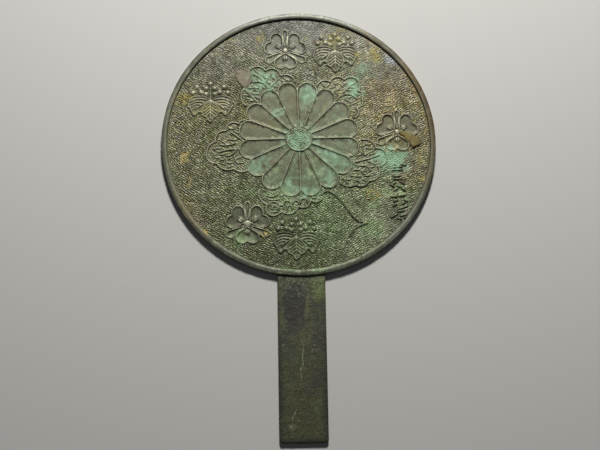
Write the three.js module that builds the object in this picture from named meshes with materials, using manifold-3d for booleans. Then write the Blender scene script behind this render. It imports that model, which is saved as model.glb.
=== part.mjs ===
// A bronze hand mirror, lying on its polished face with the decorated back up.
// Plate, rim, handle and relief are one casting, so they are one solid.
// Millimetres. The origin is the disc's centre on the polished face, +Z is up, and the handle runs to -Y.
import * as THREE from "three";
import { mergeVertices } from "three/addons/utils/BufferGeometryUtils.js";
import Module from "manifold-3d";

const wasm = await Module();
wasm.setup();

// ---- Driving dimensions ----
const DISC_RADIUS = 75.75;
const PLATE_THICKNESS = 1.8;
const RIM_HEIGHT = 3.6; // the top of the rim above the polished face
const RIM_WIDTH = 2.9;
const RIM_SHOULDER = 0.9; // how far the outer top edge is rounded off
const RIM_DRAFT = 0.8; // how far the inner wall leans in towards its foot
const FACE_EDGE = 0.4; // the bevel round the polished face
const DISC_SIDES = 90;

const HANDLE_WIDTH = 25.6;
const HANDLE_END = 163.8; // from the disc's centre to the end of the handle
const HANDLE_THICKNESS = 2.4;
const HANDLE_EDGE = 0.5; // the bevel all round the handle
const HANDLE_CORNER = 1.5;
const HANDLE_ROOT = 73.6; // the handle starts inside the rim

// Roof-shaped ridges, with about this length of ridge to a facet where they curve
const OUTLINE = { width: 1.2, height: 0.55, facet: 3.2 }; // the bounds of petals and leaves, and the stem
const VEIN = { width: 0.9, height: 0.4, facet: 3 };
const FINE = { width: 0.7, height: 0.35, facet: 4 }; // the ribs of the paulownia leaves
const SINK = 0.35; // how deep a ridge is rooted in the plate

// The chrysanthemum
const FLOWER = { x: 0, y: 1.5, turn: 1, petals: 16, tip: 33.3 };
const BOSS = { radius: 7.6, ring: 1.1, height: 0.35, ringHeight: 0.75, sides: 32 };

// The crests. Each stands upright, with the rim's top at +Y.
const SORRELS = [
  { x: -6.9, y: 53.6 },
  { x: 54.6, y: 5.0 },
  { x: -28.7, y: -47.0 },
];
const PAULOWNIAS = [
  { x: 21.2, y: 53.5 },
  { x: -49.0, y: 24.2 },
  { x: -2.4, y: -54.2 },
];

// Leaves that stand out from under the petals. An edge is a chain of lobes: notch, peak, notch, peak, notch.
const LEAVES = [
  {
    edges: [
      [[-28, 41], [-22.3, 44], [-18, 41.5], [-13.8, 42.7], [-9.8, 38.6], [-6.2, 39.1], [-1.6, 34.6]],
      [[-26.2, 36.3], [-27.8, 33.4], [-30.2, 30.8], [-31.9, 25.5], [-29.2, 20.9]],
      [[-30.2, 30.8], [-26.4, 26.8], [-22.4, 22.6]],
    ],
    veins: [
      [[-16.4, 30.8], [-18.8, 33.9], [-24.8, 35.2]],
      [[-17.4, 34.4], [-19.8, 37.8], [-24.6, 39.4]],
      [[-16.2, 31.6], [-13.4, 34.2], [-11.3, 36.8]],
    ],
  },
  {
    edges: [
      [[10.4, 32.2], [15, 35.6], [18, 34.7], [22, 37.7], [26, 35.9], [33, 36.2], [33.6, 29.3]],
      [[33.6, 29.3], [36.1, 27.2], [35.6, 24.6], [35.9, 21.8], [33.2, 19.4]],
      [[32.6, 19], [33.5, 16.5], [31, 13.6]],
    ],
    veins: [
      [[21.8, 24.9], [26.2, 30.2], [31.6, 34]],
      [[24.9, 26.8], [29.4, 27.2], [32.8, 24.8]],
      [[26.7, 24.3], [28, 23.4], [29.3, 22.8]],
    ],
  },
  {
    edges: [
      [[-28.8, 12], [-31, 12.4], [-33.4, 10.2], [-37.4, 10.9], [-40.4, 6.4], [-44.6, 4.9], [-46.2, 0]],
      [[-46.2, 0], [-49.6, -2.4], [-50.9, -6], [-50.2, -10.4], [-45.2, -12.5]],
      [[-45.2, -12.5], [-41.2, -16], [-35.9, -15.4], [-32.5, -17.2], [-26.4, -18.9]],
    ],
    veins: [
      [[-33.4, -4.2], [-39.4, -3.2], [-42.6, 0.8]],
      [[-38.2, -4.1], [-42.4, -4.3], [-46.8, -4.1]],
      [[-39.6, 5.8], [-35.6, 2.6], [-31.2, -0.3]],
    ],
  },
  {
    edges: [
      [[34.8, 0.6], [39.6, -0.1], [42.6, -4.4], [48.4, -9.6], [43.4, -14.8], [43.3, -20.6], [37.9, -23]],
      [[37.9, -23], [34.4, -26.1], [30.4, -25.3], [26.4, -26.3], [22.4, -24.4]],
    ],
    veins: [
      [[30.4, -11.9], [37.4, -10.8], [43.8, -8.2]],
      [[30.6, -16.8], [33.2, -16.9], [35.2, -19.2]],
      [[28.2, -20], [30.8, -20.5], [33.4, -20.6]],
    ],
  },
  {
    edges: [
      [[-22.3, -28.4], [-21.5, -33.2], [-18, -36], [-18, -40.4], [-15.6, -42.4]],
      [[-15.6, -42.4], [-12.6, -41.9], [-10.1, -40.1], [-5.4, -41.4], [-1.1, -37.1]],
      [[-1.1, -37.1], [3.4, -37.6], [5.7, -33.7], [9.6, -34.8], [12.9, -31]],
    ],
    veins: [
      [[0.9, -36.2], [2.1, -33.1], [3.8, -35.8]],
      [[-3.9, -36.2], [-2.1, -33.8], [-0.4, -35.6]],
      [[-9.4, -36.8], [-8, -34.8], [-6.4, -36.4]],
      [[-7.4, -38.8], [-5.7, -36.6], [-3.9, -38.9]],
      [[-11.8, -39.4], [-10.6, -36.6], [-8.9, -39.2]],
    ],
  },
];

// The chrysanthemum's stem and the shoot that turns back from its end
const STEM = {
  main: [[11.8, -30.6], [14.8, -28.8], [18.8, -30.6], [22.8, -35], [27.4, -41.6], [31.6, -45.8], [36.2, -47]],
  shoot: [[36, -46.9], [31.4, -48.7], [28.5, -51.2], [26.3, -54.4]],
};

// The column of strokes near the rim: five rows of short bars that spell nothing
const WRITING = { x: 54.6, top: -16.5, rows: 5, pitch: 6.1, height: 0.45 };

// Thick spots of brown corrosion: centre, half lengths, height and turn
const CRUSTS = [
  { x: -31, y: 37, long: 5.6, short: 4.4, height: 0.9, turn: 65 },
  { x: 61, y: 0.9, long: 6.4, short: 2.6, height: 1.1, turn: -38 },
];

// ---- Solids ----
function solidFrom(geometry) {
  const bare = geometry.index ? geometry.toNonIndexed() : geometry;
  bare.deleteAttribute("normal");
  bare.deleteAttribute("uv");
  const merged = mergeVertices(bare, 1e-4);
  const mesh = new wasm.Mesh({
    numProp: 3,
    vertProperties: merged.attributes.position.array,
    triVerts: new Uint32Array(merged.index.array),
  });
  return new wasm.Manifold(mesh);
}

function geometryFrom(solid) {
  const mesh = solid.getMesh();
  const geometry = new THREE.BufferGeometry();
  geometry.setAttribute("position", new THREE.BufferAttribute(mesh.vertProperties, 3));
  geometry.setIndex(new THREE.BufferAttribute(mesh.triVerts, 1));
  const faceted = geometry.toNonIndexed();
  faceted.computeVertexNormals();
  return faceted;
}

// A profile of [radius, height] pairs turned about Z.
function turned(profile, sides) {
  const points = profile.map(([radius, height]) => new THREE.Vector2(radius, height));
  return new THREE.LatheGeometry(points, sides).rotateX(Math.PI / 2);
}

// A point at [u, v] in a frame at (x, y) that is turned by some degrees.
function placed([u, v], { x, y, turn = 0 }) {
  const angle = THREE.MathUtils.degToRad(turn);
  return [x + u * Math.cos(angle) - v * Math.sin(angle), y + u * Math.sin(angle) + v * Math.cos(angle)];
}

// ---- Ridges ----
// The circle through three points of the field, from the first over the second to the third.
class ArcThrough extends THREE.Curve {
  constructor([ax, ay], [bx, by], [cx, cy]) {
    super();
    const spread = 2 * (ax * (by - cy) + bx * (cy - ay) + cx * (ay - by));
    const a2 = ax * ax + ay * ay;
    const b2 = bx * bx + by * by;
    const c2 = cx * cx + cy * cy;
    this.x = (a2 * (by - cy) + b2 * (cy - ay) + c2 * (ay - by)) / spread;
    this.y = (a2 * (cx - bx) + b2 * (ax - cx) + c2 * (bx - ax)) / spread;
    this.radius = Math.hypot(ax - this.x, ay - this.y);
    this.start = Math.atan2(ay - this.y, ax - this.x);
    const sweep = Math.atan2(cy - this.y, cx - this.x) - this.start;
    const turnsLeft = spread > 0;
    this.sweep = THREE.MathUtils.euclideanModulo(sweep, 2 * Math.PI) - (turnsLeft ? 0 : 2 * Math.PI);
  }

  getPoint(t, target = new THREE.Vector3()) {
    const angle = this.start + t * this.sweep;
    const x = this.x + this.radius * Math.cos(angle);
    const y = this.y + this.radius * Math.sin(angle);
    return target.set(x, y, PLATE_THICKNESS);
  }
}

function onField([x, y]) {
  return new THREE.Vector3(x, y, PLATE_THICKNESS);
}

// A roof-shaped ridge along a curve that lies on the field.
// The extrusion carries the section's x axis down into the plate and its y axis across the ridge.
function ridge(curve, { width, height, facet }) {
  const steps = curve.isLineCurve3 ? 1 : Math.max(2, Math.round(curve.getLength() / facet));
  const section = new THREE.Shape();
  section.moveTo(SINK, -width / 2);
  section.lineTo(SINK, width / 2);
  section.lineTo(-height, 0);
  return solidFrom(new THREE.ExtrudeGeometry(section, { steps, extrudePath: curve }));
}

function straightRidge(from, to, size) {
  return ridge(new THREE.LineCurve3(onField(from), onField(to)), size);
}

function smoothRidge(points, size) {
  return ridge(new THREE.CatmullRomCurve3(points.map(onField)), size);
}

// One arched ridge over each peak of a chain: notch, peak, notch, peak, notch.
function lobedRidges(chain, size) {
  const ridges = [];
  for (let i = 0; i + 2 < chain.length; i += 2) {
    ridges.push(ridge(new ArcThrough(chain[i], chain[i + 1], chain[i + 2]), size));
  }
  return ridges;
}

// ---- Raised spots ----
// A low boss with sloping sides and a flat top, round or drawn out along its own first axis.
function knob({ x, y, long, short = long, height, turn = 0, sides = 7 }) {
  const taper = 0.45;
  return solidFrom(
    new THREE.CylinderGeometry(taper, 1, height + SINK, sides)
      .rotateX(Math.PI / 2)
      .scale(long, short, 1)
      .rotateZ(THREE.MathUtils.degToRad(turn))
      .translate(x, y, PLATE_THICKNESS + (height - SINK) / 2),
  );
}

// ---- The plate and its handle ----
function disc() {
  const foot = DISC_RADIUS - RIM_WIDTH;
  const profile = [
    [0, 0],
    [DISC_RADIUS - FACE_EDGE, 0],
    [DISC_RADIUS, FACE_EDGE],
    [DISC_RADIUS, RIM_HEIGHT - RIM_SHOULDER],
    [DISC_RADIUS - RIM_SHOULDER / 3, RIM_HEIGHT - RIM_SHOULDER / 3],
    [DISC_RADIUS - RIM_SHOULDER, RIM_HEIGHT],
    [foot, RIM_HEIGHT],
    [foot - RIM_DRAFT, PLATE_THICKNESS],
    [0, PLATE_THICKNESS],
  ];
  return solidFrom(turned(profile, DISC_SIDES));
}

function handle() {
  const half = HANDLE_WIDTH / 2 - HANDLE_EDGE;
  const end = HANDLE_EDGE - HANDLE_END;
  const root = -HANDLE_ROOT - HANDLE_EDGE;
  const corner = HANDLE_CORNER - HANDLE_EDGE;
  const outline = new THREE.Shape();
  outline.moveTo(-half, root);
  outline.lineTo(-half, end + corner);
  outline.absarc(-half + corner, end + corner, corner, Math.PI, 1.5 * Math.PI);
  outline.lineTo(half - corner, end);
  outline.absarc(half - corner, end + corner, corner, 1.5 * Math.PI, 2 * Math.PI);
  outline.lineTo(half, root);
  const bar = new THREE.ExtrudeGeometry(outline, {
    depth: HANDLE_THICKNESS - 2 * HANDLE_EDGE,
    bevelThickness: HANDLE_EDGE,
    bevelSize: HANDLE_EDGE,
    bevelSegments: 2,
    curveSegments: 4,
  });
  return solidFrom(bar.translate(0, 0, HANDLE_EDGE));
}

// ---- The chrysanthemum ----
// Straight dividers run out from the boss, and a round tip touches both dividers of its petal.
function chrysanthemum() {
  const { petals, tip } = FLOWER;
  const halfAngle = Math.PI / petals;
  const tipCentre = tip / (1 + Math.sin(halfAngle));
  const tipRadius = tip - tipCentre;
  const dividerEnd = tipCentre * Math.cos(halfAngle);
  const parts = [boss()];
  for (let i = 0; i < petals; i += 1) {
    const petal = { ...FLOWER, turn: FLOWER.turn + (i * 360) / petals };
    const alongDivider = (distance, side) =>
      placed([distance * Math.cos(halfAngle), side * distance * Math.sin(halfAngle)], petal);
    parts.push(straightRidge(alongDivider(BOSS.radius, 1), alongDivider(dividerEnd, 1), OUTLINE));
    const top = placed([tipCentre + tipRadius, 0], petal);
    const arc = new ArcThrough(alongDivider(dividerEnd, -1), top, alongDivider(dividerEnd, 1));
    parts.push(ridge(arc, OUTLINE));
  }
  return parts;
}

function boss() {
  const { radius, ring, height, ringHeight, sides } = BOSS;
  const profile = [
    [0, -SINK],
    [radius, -SINK],
    [radius - ring / 2, ringHeight],
    [radius - ring, height],
    [0, height],
  ];
  return solidFrom(turned(profile, sides).translate(FLOWER.x, FLOWER.y, PLATE_THICKNESS));
}

function leaf({ edges, veins }) {
  const outlines = edges.flatMap((edge) => lobedRidges(edge, OUTLINE));
  return outlines.concat(veins.flatMap((vein) => lobedRidges(vein, VEIN)));
}

function stem() {
  return [smoothRidge(STEM.main, OUTLINE), smoothRidge(STEM.shoot, OUTLINE)];
}

// ---- The wood sorrel crest: three heart-shaped leaves, three swords between them ----
function sorrel({ x, y }) {
  const heartHalf = [[10.2, 0], [11.6, 2.2], [10.8, 5.4], [8.2, 6.8], [5.6, 5.9], [3.6, 3.4], [1.8, 0.4]];
  const swordSide = [[2, 0.5], [11.2, 2.1], [13.2, 0]];
  const parts = [knob({ x, y, long: 1.6, height: 0.9 })];
  for (const turn of [270, 148, 32]) {
    const leafFrame = { x, y, turn };
    for (const side of [1, -1]) {
      parts.push(smoothRidge(heartHalf.map(([u, v]) => placed([u, side * v], leafFrame)), VEIN));
    }
    const [dropX, dropY] = placed([4.4, 0], leafFrame);
    parts.push(knob({ x: dropX, y: dropY, long: 2, short: 1.3, height: 0.75, turn }));
  }
  for (const turn of [90, 209, 331]) {
    for (const side of [1, -1]) {
      const [root, shoulder, point] = swordSide.map(([u, v]) => placed([u, side * v], { x, y, turn }));
      parts.push(straightRidge(root, shoulder, VEIN), straightRidge(shoulder, point, VEIN));
    }
  }
  return parts;
}

// ---- The paulownia crest: three ribbed leaves, three stalks of buds ----
function paulownia(centre) {
  const at = (point) => placed(point, centre);
  return [...paulowniaMiddleLeaf(at), ...paulowniaSideLeaves(at), ...paulowniaBuds(at)];
}

function paulowniaMiddleLeaf(at) {
  const edge = [[-1.2, -1.4], [-4, -4], [-5, -7.4], [-4.3, -9.6], [-2.6, -10.7], [-1.4, -12.3], [0, -12.9]];
  const ribs = 4;
  const parts = [straightRidge(at([0, -1]), at([0, -10.6]), FINE)];
  for (const side of [1, -1]) {
    parts.push(smoothRidge(edge.map(([u, v]) => at([side * u, v])), VEIN));
    for (let i = 0; i < ribs; i += 1) {
      const reach = 3.5 - 0.55 * i;
      const start = -2.4 - 2.1 * i;
      parts.push(straightRidge(at([0, start]), at([side * reach, start - reach]), FINE));
    }
  }
  return parts;
}

function paulowniaSideLeaves(at) {
  const top = [[1, 0.7], [4, 1.9], [7.6, 2.2], [10.8, 1.6], [12.2, -0.4], [12.8, -4]];
  const foot = [[12.8, -4], [10.8, -6.8], [9.2, -8.3], [7.4, -7.6], [5, -7.2]];
  const midrib = [[0.8, -0.8], [4.4, -2.7], [8.4, -5.8]];
  const ribs = 4;
  const parts = [];
  for (const side of [1, -1]) {
    const mirrored = (points) => points.map(([u, v]) => at([side * u, v]));
    parts.push(smoothRidge(mirrored(top), VEIN));
    parts.push(smoothRidge(mirrored(foot), VEIN));
    parts.push(smoothRidge(mirrored(midrib), FINE));
    for (let i = 0; i < ribs; i += 1) {
      const start = [1.8 + 1.6 * i, -0.1 - 1.35 * i];
      const end = [10.8, 0.6 - 1.4 * i];
      const over = [(start[0] + end[0]) / 2, (start[1] + end[1]) / 2 + 0.45];
      parts.push(...lobedRidges(mirrored([start, over, end]), FINE));
    }
  }
  return parts;
}

function paulowniaBuds(at) {
  const stalks = [
    { root: [0, 0.4], head: [0, 9.6], buds: [[-2.5, 6.9], [2.5, 6.9], [-2.9, 4], [2.9, 4]] },
    { root: [-1.4, 2.6], head: [-7.6, 8.1], buds: [[-9.6, 4.7], [-5.3, 5.2]] },
    { root: [1.4, 2.6], head: [7.6, 8.1], buds: [[9.6, 4.7], [5.3, 5.2]] },
  ];
  return stalks.flatMap(({ root, head, buds }) => {
    const knobs = [head, ...buds].map((bud) => {
      const [x, y] = at(bud);
      return knob({ x, y, long: 1.15, height: 0.8, sides: 5 });
    });
    return [straightRidge(at(root), at(head), FINE), ...knobs];
  });
}

// ---- The column of strokes ----
// Every row is three bars of unequal length, each row turned a little from the last, and a tick beside them.
function writing() {
  const { x, top, rows, pitch, height } = WRITING;
  const size = { ...VEIN, height };
  const parts = [];
  for (let row = 0; row < rows; row += 1) {
    const frame = { x: x + 0.25 * row, y: top - row * pitch, turn: 9 - 5 * row };
    const lean = row % 2 ? 1 : -1;
    const bars = [
      [[-2.9, 1.7], [2.2 - 0.3 * row, 1.9]],
      [[-1.6, 0.1], [3.1, 0.3]],
      [[-3, -1.6], [1.2 + 0.4 * row, -1.4]],
      [[lean * 2.6, -0.7], [lean * 3.3, -2.3]],
    ];
    for (const [from, to] of bars) {
      parts.push(straightRidge(placed(from, frame), placed(to, frame), size));
    }
  }
  return parts;
}

function crusts() {
  return CRUSTS.map((crust) => knob({ ...crust, sides: 9 }));
}

// ---- The mirror ----
function mirror() {
  const relief = [
    ...chrysanthemum(),
    ...LEAVES.flatMap(leaf),
    ...stem(),
    ...SORRELS.flatMap(sorrel),
    ...PAULOWNIAS.flatMap(paulownia),
    ...writing(),
    ...crusts(),
  ];
  return relief.reduce((whole, part) => whole.add(part), disc().add(handle()));
}

const bronze = new THREE.MeshStandardMaterial({ color: 0x5b5a46, roughness: 0.62, metalness: 0.75 });
const bronzeMirror = new THREE.Mesh(geometryFrom(mirror()), bronze);
bronzeMirror.name = "bronze_mirror";

const group = new THREE.Group();
group.add(bronzeMirror);

export default group;
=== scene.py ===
"""A bronze hand mirror lying on its polished face, with the decorated back and its aged patina up.

The relief is drawn in numpy on a fine square chart of the field, in millimetres, with the disc's centre at
0, 0 and the handle towards -Y. The casting's skin is then a grid whose points read their height there.
"""
import math

import bpy
import numpy as np
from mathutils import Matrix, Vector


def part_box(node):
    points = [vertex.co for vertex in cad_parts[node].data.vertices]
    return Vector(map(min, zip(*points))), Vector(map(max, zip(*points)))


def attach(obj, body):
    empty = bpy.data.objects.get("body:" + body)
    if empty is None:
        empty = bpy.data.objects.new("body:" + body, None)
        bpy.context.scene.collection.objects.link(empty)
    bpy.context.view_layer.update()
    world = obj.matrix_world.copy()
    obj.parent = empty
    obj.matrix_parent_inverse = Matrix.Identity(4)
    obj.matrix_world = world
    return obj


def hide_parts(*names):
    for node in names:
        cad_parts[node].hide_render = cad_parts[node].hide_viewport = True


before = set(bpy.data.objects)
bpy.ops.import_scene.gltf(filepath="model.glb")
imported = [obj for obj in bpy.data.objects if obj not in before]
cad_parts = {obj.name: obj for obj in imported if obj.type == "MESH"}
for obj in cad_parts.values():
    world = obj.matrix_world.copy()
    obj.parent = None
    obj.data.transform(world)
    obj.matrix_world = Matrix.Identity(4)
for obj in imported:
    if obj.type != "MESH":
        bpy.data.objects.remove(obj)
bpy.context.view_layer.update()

MM = 0.001
NODE = "bronze_mirror"

# ---- Sizes of the casting, millimetres ----
low_corner, high_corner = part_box(NODE)
DISC_RADIUS = high_corner.x / MM
HANDLE_END = -low_corner.y / MM
RIM_TOP = high_corner.z / MM
FIELD = 2.2          # the height of the back's ground
RIM_WIDTH = 2.85
RIM_DRAFT = 0.35     # how far the inner wall leans in towards its foot
FOOT = DISC_RADIUS - RIM_WIDTH - RIM_DRAFT
FOOT_ROUND = 0.25    # the rounding where the inner wall meets the field
LIP_ROUND = 0.15     # the rounding of the rim's inner top edge
EDGE_ROUND = 0.25    # the rounding of its outer top edge
BASE_ROUND = 0.4     # the rounding between the outer wall and the polished face
NICK_DEPTH = 0.05    # how deep nicks cut the rim's sides
DENT_DEPTH = 0.06    # how deep dents cut its top
HANDLE_WIDTH = 25.6
HANDLE_THICKNESS = 2.4
HANDLE_EDGE = 0.6
HANDLE_CORNER = 1.6
HANDLE_ROOT = 73.4   # the handle starts inside the rim
HANDLE_SLACK = 0.14  # how far the handle's uneven top lies below its full thickness
MOST_TRIANGLES = 194_000

# ---- The chart of the field ----
PITCH = 0.1
CELLS = 1500
LOW = -PITCH * CELLS / 2
AXIS = LOW + PITCH * np.arange(CELLS)
X, Y = np.meshgrid(AXIS, AXIS)
# The chart's frequencies, in waves per millimetre
FREQUENCY_X, FREQUENCY_Y = np.fft.rfftfreq(CELLS, PITCH)[None, :], np.fft.fftfreq(CELLS, PITCH)[:, None]

# ---- The ridges: width at the foot and height, millimetres ----
OUTLINE = (1.1, 0.86)
PETAL = (0.85, 0.66)
VEIN = (0.9, 0.72)
FINE = (0.85, 0.62)
STROKE = (1.2, 1)
GROOVE = (0.7, 0.45)
SCRATCH = (0.9, 0.2)
SHOULDER = 0.6       # the power that rounds the section of ridges and mounds, and a smaller one is blunter
MELT = 0.07          # the radius of the blur that softens all ridges, as casting does

FLOWER = {"x": 0.0, "y": 1.5, "turn": 1.0, "petals": 16, "tip": 33.3}
BOSS_RADIUS = 7.6
BOSS_MIDDLE = BOSS_RADIUS - 1.1   # the radius of its pebbled middle
BOSS_RISE = 0.3
BOSS_RING = 0.78
PETAL_CROWN = 0.1    # how far a petal's middle stands above its sides
LEAF_CALM = 0.35     # how much of the pebbles a leaf smooths away

PEBBLE_SPACING = 1.1
LEFT_ROWS, RIGHT_ROWS = 52, 122   # the turn of the pebbles' rows, in degrees

# Each crest's centre, and the size of the heart crests' balls
SORRELS = [((-6.9, 53.6), 1.5), ((54.6, 5.0), 1.5), ((-28.7, -47.0), 2.1)]
PAULOWNIAS = [(21.2, 53.5), (-49.0, 24.2), (-2.4, -54.2)]
PAULOWNIA_PLATE = 0.28
# The bright knob on a sword of the lowest heart crest: centre, half lengths, height and turn
SWORD_KNOB = ((-18.9, -53), 1.5, 1.1, 0.95, -40)
PETAL_SCRATCH = [(-8, 19), (-12, 17), (-13.5, 16.3)]

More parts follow.
